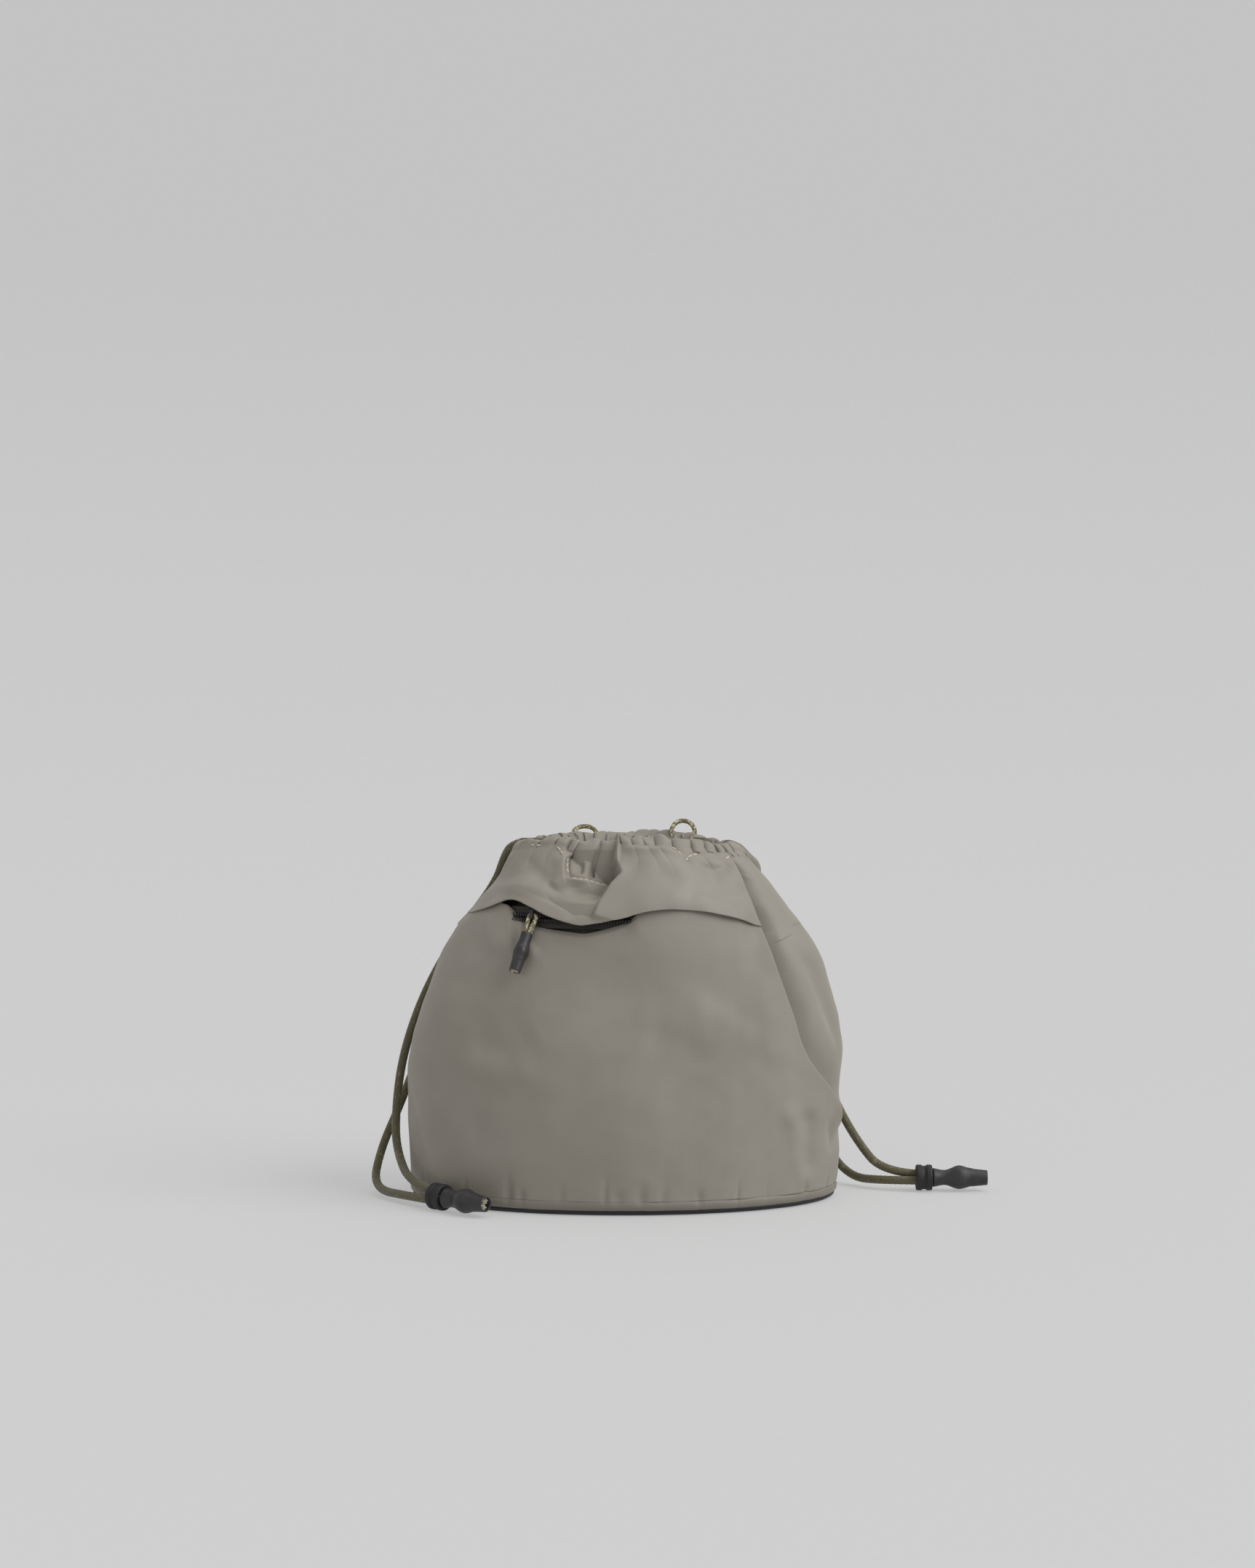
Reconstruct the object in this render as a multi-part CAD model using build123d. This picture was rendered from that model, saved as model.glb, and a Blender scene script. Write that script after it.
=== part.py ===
from build123d import *
import math
import os

# Drawstring bucket bag with a zipped front pocket, drawn shut and standing on its base.
# Millimetres, +Z up, -Y is the front, +X the right as seen from the front.
# The origin is the centre of the base's underside.

# ---- Body: the filled shape that the fabric takes ----
body_width = 250.0  # at the belly, a third of the way up
body_depth = 152.0
wall_top = 201.0  # top edge of the yokes, round the gathered channel
# (height, share of the half width, share of the half depth) of the outer fabric
body_outline = [
    (8.0, 0.976, 0.980),
    (32.0, 0.996, 0.997),
    (60.0, 1.000, 0.992),
    (90.0, 0.968, 0.955),
    (120.0, 0.896, 0.884),
    (147.0, 0.800, 0.803),
    (162.0, 0.728, 0.737),
    (177.0, 0.656, 0.671),
    (188.0, 0.572, 0.578),
    (196.0, 0.504, 0.496),
    (203.0, 0.446, 0.415),
]
side_seam_y = -12.0  # the front pieces lie in front of the upright plane through this point
side_seam_turn = -8.0  # degrees that this plane turns, so the right seam is nearer the front
seam_gap = 0.2

# ---- Fabric layers, measured inwards from the outer face ----
outer_fabric = 0.8
pocket_back_behind_zip = 2.2  # from the middle of the zip's tape
pocket_back_fabric = 0.5
lining_behind_pocket = 0.4
lining_fabric = 0.5
layer_gap = 0.2

# ---- Base ----
base_panel_thickness = 3.0
base_panel_margin = 2.5  # how far the bottom panel stays inside the body's foot
base_band_height = 4.6
base_band_fabric = 2.0
base_board_thickness = 3.0

# ---- Yokes ----
back_yoke_seam_z = 156.0
hem_stand_off = 5.0  # inner face of the front yoke's hem, from the body's outer face
hem_above_zip = 3.0
facing_thickness = 2.0  # the folded strip behind the front yoke, above the zip
facing_height = 14.0

# ---- Zip: everything on it turns about the upright axis of its arc ----
zip_z = 164.0
zip_slot_height = 10.0
zip_bow = 0.8922  # its radius, against that of the fabric's front at its height
zip_length = 136.14
zip_inset = 2.4  # middle of the tape from the body's outer face
tape_thickness = 0.4
tape_half_width = 6.0
coil_gap = 0.45  # from the zip's centre line to each coil
coil_height = 1.8
coil_thickness = 1.35
coil_seat = 0.05
stop_half_angle = 0.55
stop_from_end = 0.75

# ---- Zip slider ----
slider_along = -51.28  # where the slider is parked, along the zip from its middle
slider_length = 9.0
slider_width = 7.4
slider_plate = 0.8
slider_clearance = 0.25
slider_lip = 0.7
slider_post_length = 1.0
bridge_width = 1.6
bridge_bar = 0.9

# ---- Zip pull: a doubled thin cord with a shrunk sleeve over its knot ----
pull_cord_diameter = 2.6
pull_cord_clearance = 0.3
pull_loop_half_width = 2.9
pull_sleeve_drop = 11.0  # from the bridge to the sleeve's upper end
pull_lean = 11.5  # away from the fabric, degrees
pull_tilt = -6.0  # to the left, degrees
pull_sleeve_wall = 0.6
# (share of the sleeve's length, added to the radius at its upper end)
pull_sleeve_swell = [(0.0, 0.0), (0.28, 0.1), (0.5, 1.1), (0.68, 0.5), (1.0, 0.0)]
pull_sleeve_length = 23.5
pull_knot_start = 0.4  # the knot fills the sleeve from here
pull_core_end = 1.2  # how far the cords' cut ends stay inside the sleeve's open end

# ---- Gathered channel round the mouth ----
channel_clearance = 1.6  # from the yokes' inner face
channel_ring = 17.0  # how thick the bunched channel is, from outside to mouth
channel_bottom_z = 192.0
channel_top_z = 208.0
channel_side_radius = 24.0
exit_gap = 15.0  # the cords leave between the channel's halves at each side
exit_y = 6.0
exit_notch_floor = 1.5  # room under the lower cord where it crosses the yoke

# ---- Drawcords: two, each a loop round the whole mouth ----
cord_diameter = 5.0
strand_gap = 0.8
tunnel_clearance = 0.3

# ---- Rings and end sleeves on the drawcords ----
ring_wall = 2.2
ring_length = 9.5
ring_clearance = 0.25
ring_floor_gap = 0.3
ring_travel = 5.0
ring_groove_depth = 0.6
ring_groove_width = 2.4
sleeve_wall = 0.7
sleeve_gap = 0.3
# (share of the sleeve's length, added to the radius at its cord end)
sleeve_swell = [(0.0, 0.0), (0.22, -1.2), (0.48, 1.2), (0.68, -0.2), (1.0, -1.4)]
sleeve_length = 31.5
core_end = 1.5  # how far the cords' cut ends stay inside the sleeve's open end
straight_run = 28.0  # of each strand in front of its sleeve

# side: (x, y of the sleeve's cord end, its heading in degrees, roll of the two strands)
cord_ends = {
    "right": (179.3, 10.0, -1.0, 35.0),
    "left": (-99.5, -57.0, -42.0, 70.0),
}

# ---- Strap loops, sewn to the back of the mouth ----
loop_cord_diameter = 2.8
loop_radius = 6.8
# side: (x, y, tilt to the back in degrees)
strap_loops = {"left": (-22.5, 23.5, 35.0), "right": (34.5, 20.5, 12.0)}


def half_sizes_at(z):
    """Half width and half depth of the body's outer face at a height."""
    for low, high in zip(body_outline, body_outline[1:]):
        if z <= high[0]:
            break
    t = (z - low[0]) / (high[0] - low[0])
    wide = low[1] + t * (high[1] - low[1])
    deep = low[2] + t * (high[2] - low[2])
    return wide * body_width / 2, deep * body_depth / 2


# ---- Sizes that follow from the ones above ----
panel_bottom_z = body_outline[0][0]
foot_x, foot_y = half_sizes_at(panel_bottom_z)
pocket_edge_z = zip_z - zip_slot_height / 2
facing_bottom_z = zip_z + zip_slot_height / 2
facing_top_z = facing_bottom_z + facing_height
hem_z = zip_z + hem_above_zip
pocket_back_inset = zip_inset + pocket_back_behind_zip
lining_inset = pocket_back_inset + pocket_back_fabric + lining_behind_pocket
zip_body_x, zip_body_y = half_sizes_at(zip_z)
zip_radius = zip_bow * zip_body_x**2 / zip_body_y
zip_half_angle = math.degrees(zip_length / 2 / zip_radius)
slider_angle = math.degrees(slider_along / zip_radius)
top_x, top_y = half_sizes_at(wall_top)
channel_x = top_x - outer_fabric - channel_clearance
channel_y = top_y - outer_fabric - channel_clearance
cord_oval_x = channel_x - channel_ring / 2
cord_oval_y = channel_y - channel_ring / 2
strand_pitch = cord_diameter + strand_gap
channel_mid_z = (channel_bottom_z + channel_top_z) / 2
lower_cord_z = channel_mid_z - strand_pitch / 2
upper_cord_z = channel_mid_z + strand_pitch / 2
exit_x = channel_x + 3.0
exit_notch_z = lower_cord_z - cord_diameter / 2 - exit_notch_floor
near_exit_y = exit_y - strand_pitch / 2
far_exit_y = exit_y + strand_pitch / 2
ring_bore = 2 * cord_diameter + 2 * ring_clearance
ring_radius = ring_bore / 2 + ring_wall
sleeve_radius = cord_diameter + sleeve_wall + 0.1
beyond = 400.0  # larger than the bag, for cutting boxes


# ---- Shapes that several pieces share ----
def make_loft(inset):
    """The body's outline as one closed solid, moved inwards by inset."""
    rings = []
    for z, wide, deep in body_outline:
        half_x = wide * body_width / 2 - inset
        half_y = deep * body_depth / 2 - inset
        rings.append(Plane.XY.offset(z) * Ellipse(half_x, half_y))
    return loft(rings)


def shell(inset, thickness):
    return make_loft(inset) - make_loft(inset + thickness)


def slab(low_z, high_z, low_y=-beyond, high_y=beyond):
    """A box across the whole bag between two heights and two depths."""
    centre = Pos(0, (low_y + high_y) / 2, (low_z + high_z) / 2)
    return centre * Box(2 * beyond, high_y - low_y, high_z - low_z)


def seam_side(low_z, high_z, side):
    """Everything in front of (-1) or behind (+1) the side seams, between two heights."""
    middle = Pos(0, side * (beyond + seam_gap) / 2, (low_z + high_z) / 2)
    box = middle * Box(3 * beyond, beyond, high_z - low_z)
    return Pos(0, side_seam_y, 0) * Rot(0, 0, side_seam_turn) * box


def elliptic_plate(low_z, thickness, half_x, half_y):
    return extrude(Plane.XY.offset(low_z) * Ellipse(half_x, half_y), thickness)


def oval(half_x, half_y, side_radius):
    """A face with four tangent arcs: long ones front and back, short ones at the sides."""
    side_radius = min(side_radius, 0.92 * half_y)
    long_radius = (half_x - side_radius) ** 2 + half_y**2 - side_radius**2
    long_radius /= 2 * (half_y - side_radius)
    half_turn = math.degrees(math.atan2(half_x - side_radius, long_radius - half_y))
    side_turn = 90 - half_turn
    right = CenterArc((half_x - side_radius, 0), side_radius, -side_turn, 2 * side_turn)
    left = CenterArc((side_radius - half_x, 0), side_radius, 180 - side_turn, 2 * side_turn)
    back = CenterArc((0, half_y - long_radius), long_radius, side_turn, 2 * half_turn)
    front = CenterArc((0, long_radius - half_y), long_radius, 180 + side_turn, 2 * half_turn)
    return make_face(Wire([right, back, left, front]))


def cord_path(route):
    """Straight runs joined by arcs as large as the runs allow, and the arcs' radii."""
    points = [Vector(*point) for point in route]
    radii = []
    for before, here, after in zip(points, points[1:], points[2:]):
        turn = math.radians((here - before).get_angle(after - here))
        shorter = min((here - before).length, (after - here).length)
        radii.append(0.45 * shorter / math.tan(turn / 2))
    return FilletPolyline(*points, radius=radii), radii


def tube(route, diameter):
    path, _ = cord_path(route)
    return sweep(Plane(origin=path @ 0, z_dir=path % 0) * Circle(diameter / 2), path=path)


def revolved_sleeve(length, end_radius, swell, inset=0.0, low=0.0, high=0.0):
    """A round sleeve along +X from the origin, whose radius follows its swell."""
    outline = [(share * length, end_radius + more - inset) for share, more in swell]
    curve = Spline(outline)
    first, last = outline[0], outline[-1]
    face = make_face([curve, Line(last, (last[0], 0)), Line((last[0], 0), (0, 0)), Line((0, 0), first)])
    solid = revolve(face, Axis.X)
    if low or high:
        keep = Pos((low + length - high) / 2, 0, 0) * Box(length - high - low, length, length)
        solid = solid & keep
    return solid


# ---- Base ----
def make_base_panel():
    inset = base_panel_margin
    return elliptic_plate(0, base_panel_thickness, foot_x - inset, foot_y - inset)


def make_base_band():
    low_z = base_panel_thickness + layer_gap
    outside = elliptic_plate(low_z, base_band_height, foot_x, foot_y)
    inner_x, inner_y = foot_x - base_band_fabric, foot_y - base_band_fabric
    return outside - elliptic_plate(low_z, base_band_height, inner_x, inner_y)


def make_base_board():
    inset = base_band_fabric + layer_gap
    low_z = base_panel_thickness + layer_gap
    return elliptic_plate(low_z, base_board_thickness, foot_x - inset, foot_y - inset)


def make_lining_base():
    low_z = base_panel_thickness + base_board_thickness + 2 * layer_gap
    return elliptic_plate(low_z, lining_fabric, foot_x - lining_inset, foot_y - lining_inset)


# ---- Body fabric ----
def exit_notch():
    """The room at both sides of the mouth through which the drawcords leave."""
    half = exit_gap / 2
    return slab(exit_notch_z, channel_top_z + exit_gap, exit_y - half, exit_y + half)


def make_front_panel(outer):
    return outer & seam_side(panel_bottom_z, pocket_edge_z, -1)


def make_back_panel(outer):
    return outer & seam_side(panel_bottom_z, back_yoke_seam_z - seam_gap / 2, 1)


def make_back_yoke(outer):
    return (outer & seam_side(back_yoke_seam_z + seam_gap / 2, wall_top, 1)) - exit_notch()


def make_front_yoke():
    """The upper front, whose free hem hangs in front of the zip."""
    stand_off = [
        (hem_z, hem_stand_off),
        (facing_bottom_z + 3, hem_stand_off),
        (facing_top_z - 4, hem_stand_off / 2),
        (facing_top_z + 4, layer_gap),
        (wall_top, layer_gap),
    ]
    inside, outside = [], []
    for z, out in stand_off:
        half_x, half_y = half_sizes_at(z)
        inside.append(Plane.XY.offset(z) * Ellipse(half_x + out, half_y + out))
        out += outer_fabric
        outside.append(Plane.XY.offset(z) * Ellipse(half_x + out, half_y + out))
    yoke = (loft(outside) - loft(inside)) & seam_side(hem_z, wall_top, -1)
    return yoke - exit_notch()


def make_yoke_facing():
    """The folded strip that the zip's upper tape is sewn to."""
    strip = shell(0, facing_thickness) & seam_side(facing_bottom_z, facing_top_z, -1)
    return strip - zip_room()


def make_pocket_hem():
    """The pocket's turned-in upper edge, sewn to the zip's lower tape."""
    low_inset = outer_fabric + layer_gap / 2
    thickness = zip_inset - tape_thickness / 2 - low_inset - layer_gap / 2
    strip = shell(low_inset, thickness)
    return (strip & seam_side(pocket_edge_z - 8, pocket_edge_z, -1)) - zip_room()


def make_pocket_back():
    layer = shell(pocket_back_inset, pocket_back_fabric)
    return layer & seam_side(panel_bottom_z + 6, facing_top_z, -1)


def make_lining():
    return shell(lining_inset, lining_fabric) & slab(panel_bottom_z, channel_bottom_z - layer_gap)


# ---- Zip ----
zip_front_y = -zip_body_y
zip_axis = Axis((0, zip_front_y + zip_radius, 0), (0, 0, 1))
lean_rise = 10.0
lean_run = half_sizes_at(zip_z - lean_rise / 2)[1] - half_sizes_at(zip_z + lean_rise / 2)[1]
zip_lean = math.atan2(lean_run, lean_rise)
coil_face = tape_thickness / 2 + coil_seat + coil_thickness


def zip_point(out, up):
    """A point of the zip's section at the front: out from the tape, and up along it."""
    inwards = zip_inset - out * math.cos(zip_lean) + up * math.sin(zip_lean)
    return (0, zip_front_y + inwards, zip_z + up * math.cos(zip_lean) + out * math.sin(zip_lean))


def zip_strip(out, up, half_angle):
    """A strip of rectangular section that follows the zip's arc."""
    corners = [(out[0], up[0]), (out[1], up[0]), (out[1], up[1]), (out[0], up[1])]
    section = make_face(Polyline([zip_point(*corner) for corner in corners], close=True))
    return revolve(section.rotate(zip_axis, -half_angle), zip_axis, 2 * half_angle)


def zip_room():
    """The tape with a little room round it, cut from the fabric beside it."""
    half = tape_thickness / 2 + layer_gap / 2
    reach = tape_half_width + layer_gap
    return zip_strip((-half, half), (-reach, reach), zip_half_angle + 0.2)


def make_zip_tape(side):
    half = tape_thickness / 2
    return zip_strip((-half, half), sorted((side * coil_gap, side * tape_half_width)), zip_half_angle)


def make_zip_coil(side):
    low = tape_thickness / 2 + coil_seat
    up = sorted((side * coil_gap, side * (coil_gap + coil_height)))
    return zip_strip((low, coil_face), up, zip_half_angle - stop_from_end - 2 * stop_half_angle)


def make_zip_stop(side):
    """A crimped metal stop across both coils at one end of the zip."""
    reach = coil_gap + coil_height
    stop = zip_strip((tape_thickness / 2 + coil_seat, coil_face + 0.4), (-reach, reach), stop_half_angle)
    return stop.rotate(zip_axis, side * (zip_half_angle - stop_from_end))


# Local frame of the parked slider: X along the zip, Y up the tape, Z outwards.
plate_low = coil_face + slider_clearance
plate_top = plate_low + slider_plate
bridge_opening = pull_cord_diameter + 2 * pull_cord_clearance
pivot_height = plate_top + bridge_opening / 2
slider_frame = Plane(
    origin=zip_point(0, 0), x_dir=(1, 0, 0), z_dir=(0, -math.cos(zip_lean), math.sin(zip_lean))
)


def at_slider(local):
    return (slider_frame * local).rotate(zip_axis, slider_angle)


def block(low_x, high_x, low_y, high_y, low_z, high_z):
    centre = Pos((low_x + high_x) / 2, (low_y + high_y) / 2, (low_z + high_z) / 2)
    return centre * Box(high_x - low_x, high_y - low_y, high_z - low_z)


def make_zip_slider():
    """Two plates joined by a post that runs between the coils, lips and a bridge."""
    half_length, half_width = slider_length / 2, slider_width / 2
    taper = [(-half_length, 1.2), (2 - half_length, 0), (half_length, 0.8)]
    lower = [(x, inset - half_width) for x, inset in taper]
    upper = [(x, half_width - inset) for x, inset in reversed(taper)]
    outline = make_face(Polyline(lower + upper, close=True))
    under_top = -tape_thickness / 2 - slider_clearance
    body = Pos(0, 0, plate_low) * extrude(outline, slider_plate)
    body += Pos(0, 0, under_top - slider_plate) * extrude(outline, slider_plate)
    post_half = coil_gap - slider_clearance
    post_x = -half_length + 0.4
    body += block(post_x, post_x + slider_post_length, -post_half, post_half, under_top, plate_low)
    lip_low = tape_thickness / 2 + slider_clearance
    lip_x = half_length - 2
    lip_y = coil_gap + coil_height + slider_clearance
    foot_y = bridge_opening / 2
    bar_low = plate_top + bridge_opening
    half_bridge = bridge_width / 2
    for side in (-1, 1):
        across = sorted((side * lip_y, side * (lip_y + slider_lip)))
        body += block(-lip_x, lip_x, *across, lip_low, plate_low)
        across = sorted((side * foot_y, side * (foot_y + bridge_bar)))
        body += block(-half_bridge, half_bridge, *across, plate_top, bar_low)
    reach = foot_y + bridge_bar
    body += block(-half_bridge, half_bridge, -reach, reach, bar_low, bar_low + bridge_bar)
    return at_slider(body)


# ---- Zip pull: local X along the zip, -Y down the pull, Z out of the fabric ----
pull_place = Pos(0, 0, pivot_height) * Rot(-pull_lean, 0, 0) * Rot(0, 0, pull_tilt)
pull_strand_x = pull_cord_diameter / 2 + 0.1
pull_sleeve_radius = pull_cord_diameter + pull_sleeve_wall + 0.15
sleeve_down = Pos(0, -pull_sleeve_drop, 0) * Rot(0, 0, -90)


def at_pull(local):
    return at_slider(pull_place * local)


def make_pull_cord():
    """One thin cord through the bridge, with both strands ending at the sleeve."""
    half, low = pull_loop_half_width, -pull_sleeve_drop
    shoulder = low / 2
    route = [(-pull_strand_x, low, 0), (-half + 0.3, shoulder, 0), (-half, 0, 0)]
    route += [(-x, y, z) for x, y, z in reversed(route)]
    return at_pull(tube(route, pull_cord_diameter))


def make_pull_sleeve():
    outside = revolved_sleeve(pull_sleeve_length, pull_sleeve_radius, pull_sleeve_swell)
    inside = revolved_sleeve(
        pull_sleeve_length, pull_sleeve_radius, pull_sleeve_swell, pull_sleeve_wall
    )
    return at_pull(sleeve_down * (outside - inside))


def make_pull_knot():
    """The knotted cord ends that fill the sleeve."""
    knot = revolved_sleeve(
        pull_sleeve_length, pull_sleeve_radius, pull_sleeve_swell,
        pull_sleeve_wall + 0.05, pull_knot_start, pull_core_end,
    )
    return at_pull(sleeve_down * knot)


# ---- Drawcords ----
def around_mouth(side, z):
    """Route of one cord inside the channel, out at its own side at both ends."""
    shares = [
        (0.90, -0.62), (0.55, -0.97), (0.0, -1.10), (-0.55, -0.97), (-0.91, -0.60), (-1.07, 0.05),
        (-0.91, 0.65), (-0.55, 0.98), (0.0, 1.10), (0.50, 1.02), (0.84, 0.80),
    ]
    lead = 9.0
    route = [(exit_x, near_exit_y, z), (exit_x - lead, near_exit_y, z)]
    route += [(x * cord_oval_x, y * cord_oval_y, z) for x, y in shares]
    route += [(exit_x - lead, far_exit_y, z), (exit_x, far_exit_y, z)]
    return [(side * x, y, z) for x, y, z in route]


def strand_ends(side):
    """Where the near and the far strand of one side meet their sleeve, and its heading."""
    x, y, heading, roll = cord_ends[side]
    along = Vector(1, 0, 0).rotate(Axis.Z, heading)
    middle = Vector(x, y, ring_radius + ring_floor_gap)
    across = Vector(0, 1, 0).rotate(Axis.Z, heading) * math.cos(math.radians(roll))
    offset = (across + Vector(0, 0, math.sin(math.radians(roll)))) * (cord_diameter / 2 + 0.05)
    return middle, along, offset


def free_route(side, first, chosen):
    """Out of the mouth, down the bag's side and along the floor into the end sleeve."""
    middle, along, offset = strand_ends(side)
    sign = 1 if side == "right" else -1
    exit_height = lower_cord_z if side == "right" else upper_cord_z
    start = (sign * exit_x, near_exit_y if first else far_exit_y, exit_height)
    lead = (start[0] + sign * 10, start[1], exit_height)
    end = middle + offset if first else middle - offset
    corner = end - along * straight_run
    return [start, lead, *chosen, tuple(corner), tuple(end)]


free_routes = {
    "drawcord_right_front": free_route("right", True, [
        (78.0, 9.5, 193.5), (85.5, 21.0, 178.0), (95.0, 30.0, 155.5), (102.5, 37.0, 130.0),
        (107.5, 41.5, 103.0), (112.5, 42.5, 76.0), (123.5, 38.5, 50.0), (136.0, 29.0, 27.0),
    ]),
    "drawcord_right_back": free_route("right", False, [
        (75.0, 19.0, 192.5), (79.0, 32.0, 176.5), (83.5, 42.0, 153.5), (88.5, 49.0, 128.0),
        (92.5, 53.5, 101.5), (97.0, 55.0, 75.0), (105.5, 52.5, 49.0), (117.0, 45.5, 24.5),
        (132.0, 34.0, 4.0),
    ]),
    "drawcord_left_front": free_route("left", True, [
        (-76.5, 12.0, 195.0), (-77.0, 25.0, 179.0), (-88.0, 32.5, 156.0), (-104.0, 29.0, 129.0),
        (-118.0, 20.5, 103.0), (-127.0, 13.0, 76.0), (-130.5, 6.0, 50.0), (-131.0, -5.0, 27.0),
    ]),
    "drawcord_left_back": free_route("left", False, [
        (-73.0, 21.0, 195.0), (-70.0, 34.0, 179.0), (-79.0, 42.5, 154.5), (-93.5, 42.0, 127.0),
        (-109.0, 35.5, 101.0), (-120.5, 28.5, 74.5), (-130.5, 21.5, 48.0), (-141.0, 13.0, 24.0),
        (-144.5, -4.0, 3.6),
    ]),
}


def make_free_strand(name):
    route = free_routes[name]
    path, radii = cord_path(route)
    strand = tube(route, cord_diameter)
    expected = math.pi * cord_diameter**2 / 4 * path.length
    shown = ", ".join(f"{radius:.0f}" for radius in radii)
    print(f"{name}: {path.length:.0f} mm, volume {strand.volume / expected:.3f}, radii {shown}")
    return strand


# ---- Gathered channel ----
def make_channel(tunnels):
    """The bunched fabric tube round the mouth, with a tunnel for each drawcord."""
    height = channel_top_z - channel_bottom_z
    outer = oval(channel_x, channel_y, channel_side_radius)
    inner = oval(channel_x - channel_ring, channel_y - channel_ring, channel_side_radius)
    ring = extrude(Plane.XY.offset(channel_bottom_z) * (outer - inner), height)
    for tunnel in tunnels:
        ring -= tunnel
    return ring


# ---- Rings, sleeves and knots on the drawcords ----
def at_cord_end(side, local):
    middle, along, _ = strand_ends(side)
    return Plane(origin=middle, x_dir=along, z_dir=(0, 0, 1)) * local


def make_ring(side):
    """A moulded rubber ring round both strands, with a groove round its middle."""
    half = ring_length / 2
    ring = Cylinder(ring_radius, ring_length) - Cylinder(ring_bore / 2, ring_length)
    groove = Cylinder(ring_radius + 1, ring_groove_width)
    groove -= Cylinder(ring_radius - ring_groove_depth, ring_groove_width)
    ring -= groove
    ring = fillet(ring.edges().filter_by(GeomType.CIRCLE).group_by(Axis.Z)[0][-1:], 1.0)
    return at_cord_end(side, Pos(-sleeve_gap - half, 0, 0) * Rot(0, 90, 0) * ring)


def make_end_sleeve(side):
    outside = revolved_sleeve(sleeve_length, sleeve_radius, sleeve_swell)
    inside = revolved_sleeve(sleeve_length, sleeve_radius, sleeve_swell, sleeve_wall)
    return at_cord_end(side, outside - inside)


def make_end_knot(side):
    """The knotted cord ends that fill the sleeve."""
    inset = sleeve_wall + 0.05
    knot = revolved_sleeve(sleeve_length, sleeve_radius, sleeve_swell, inset, 0, core_end)
    return at_cord_end(side, knot)


def make_strap_loop(x, y, tilt):
    """Half a turn of thin cord that stands on the channel's top."""
    arc = CenterArc((0, 0), loop_radius, 0, 180)
    section = Plane(origin=(loop_radius, 0, 0), z_dir=(0, 1, 0)) * Circle(loop_cord_diameter / 2)
    half_turn = sweep(section, path=arc)
    standing = Rot(90, 0, 0) * half_turn
    clear_of_top = layer_gap + loop_cord_diameter / 2 * math.sin(math.radians(tilt))
    return Pos(x, y, channel_top_z + clear_of_top) * Rot(-tilt, 0, 0) * standing


def main():
    os.makedirs("parts", exist_ok=True)
    outer = shell(0, outer_fabric)
    lower_route = around_mouth(1, lower_cord_z)
    upper_route = around_mouth(-1, upper_cord_z)
    tunnel_diameter = cord_diameter + 2 * tunnel_clearance
    channel = make_channel([tube(lower_route, tunnel_diameter), tube(upper_route, tunnel_diameter)])
    gap_front, gap_back = exit_y - exit_gap / 2, exit_y + exit_gap / 2
    parts = {
        "base_panel": make_base_panel(),
        "base_band": make_base_band(),
        "base_board": make_base_board(),
        "lining_base": make_lining_base(),
        "front_panel": make_front_panel(outer),
        "back_panel": make_back_panel(outer),
        "front_yoke": make_front_yoke(),
        "back_yoke": make_back_yoke(outer),
        "yoke_facing": make_yoke_facing(),
        "pocket_hem": make_pocket_hem(),
        "pocket_back": make_pocket_back(),
        "lining": make_lining(),
        "zip_tape_lower": make_zip_tape(-1),
        "zip_tape_upper": make_zip_tape(1),
        "zip_coil_lower": make_zip_coil(-1),
        "zip_coil_upper": make_zip_coil(1),
        "zip_stop_left": make_zip_stop(-1),
        "zip_stop_right": make_zip_stop(1),
        "zip_slider": make_zip_slider(),
        "zip_pull_cord": make_pull_cord(),
        "zip_pull_sleeve": make_pull_sleeve(),
        "zip_pull_knot": make_pull_knot(),
        "mouth_channel_front": channel & slab(0, beyond, -beyond, gap_front),
        "mouth_channel_back": channel & slab(0, beyond, gap_back, beyond),
        "drawcord_right_inner": tube(lower_route, cord_diameter),
        "drawcord_left_inner": tube(upper_route, cord_diameter),
    }
    for name in free_routes:
        parts[name] = make_free_strand(name)
    for side in cord_ends:
        parts[f"cord_ring_{side}"] = make_ring(side)
        parts[f"cord_end_sleeve_{side}"] = make_end_sleeve(side)
        parts[f"cord_end_knot_{side}"] = make_end_knot(side)
    for side, place in strap_loops.items():
        parts[f"strap_loop_{side}"] = make_strap_loop(*place)
    for name, shape in parts.items():
        export_step(shape, f"parts/{name}.step")
    pivot = at_slider(Vertex(0, 0, pivot_height)).center()
    swing = at_slider(Vertex(1, 0, pivot_height)).center() - pivot
    print(f"zip pull pivot {tuple(pivot)}, axis {tuple(swing)}")
    print(f"zip arc axis through y {zip_axis.position.Y:.3f}")


main()
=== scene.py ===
import math
import bpy
import numpy as np
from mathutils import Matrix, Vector


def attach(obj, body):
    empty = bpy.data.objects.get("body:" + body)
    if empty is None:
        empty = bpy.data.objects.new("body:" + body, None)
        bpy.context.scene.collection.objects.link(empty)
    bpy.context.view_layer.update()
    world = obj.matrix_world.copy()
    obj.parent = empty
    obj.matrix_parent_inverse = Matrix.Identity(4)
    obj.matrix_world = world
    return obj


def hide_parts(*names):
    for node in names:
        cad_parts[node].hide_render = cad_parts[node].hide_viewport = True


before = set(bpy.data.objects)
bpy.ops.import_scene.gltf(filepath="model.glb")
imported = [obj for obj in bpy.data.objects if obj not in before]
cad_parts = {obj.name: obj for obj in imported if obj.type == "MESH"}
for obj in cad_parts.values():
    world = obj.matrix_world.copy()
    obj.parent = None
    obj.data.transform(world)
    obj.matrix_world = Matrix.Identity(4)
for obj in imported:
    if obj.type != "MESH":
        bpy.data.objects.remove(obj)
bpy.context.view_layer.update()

mm = 0.001  # shapes are worked out in millimetres and written to meshes in metres


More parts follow.
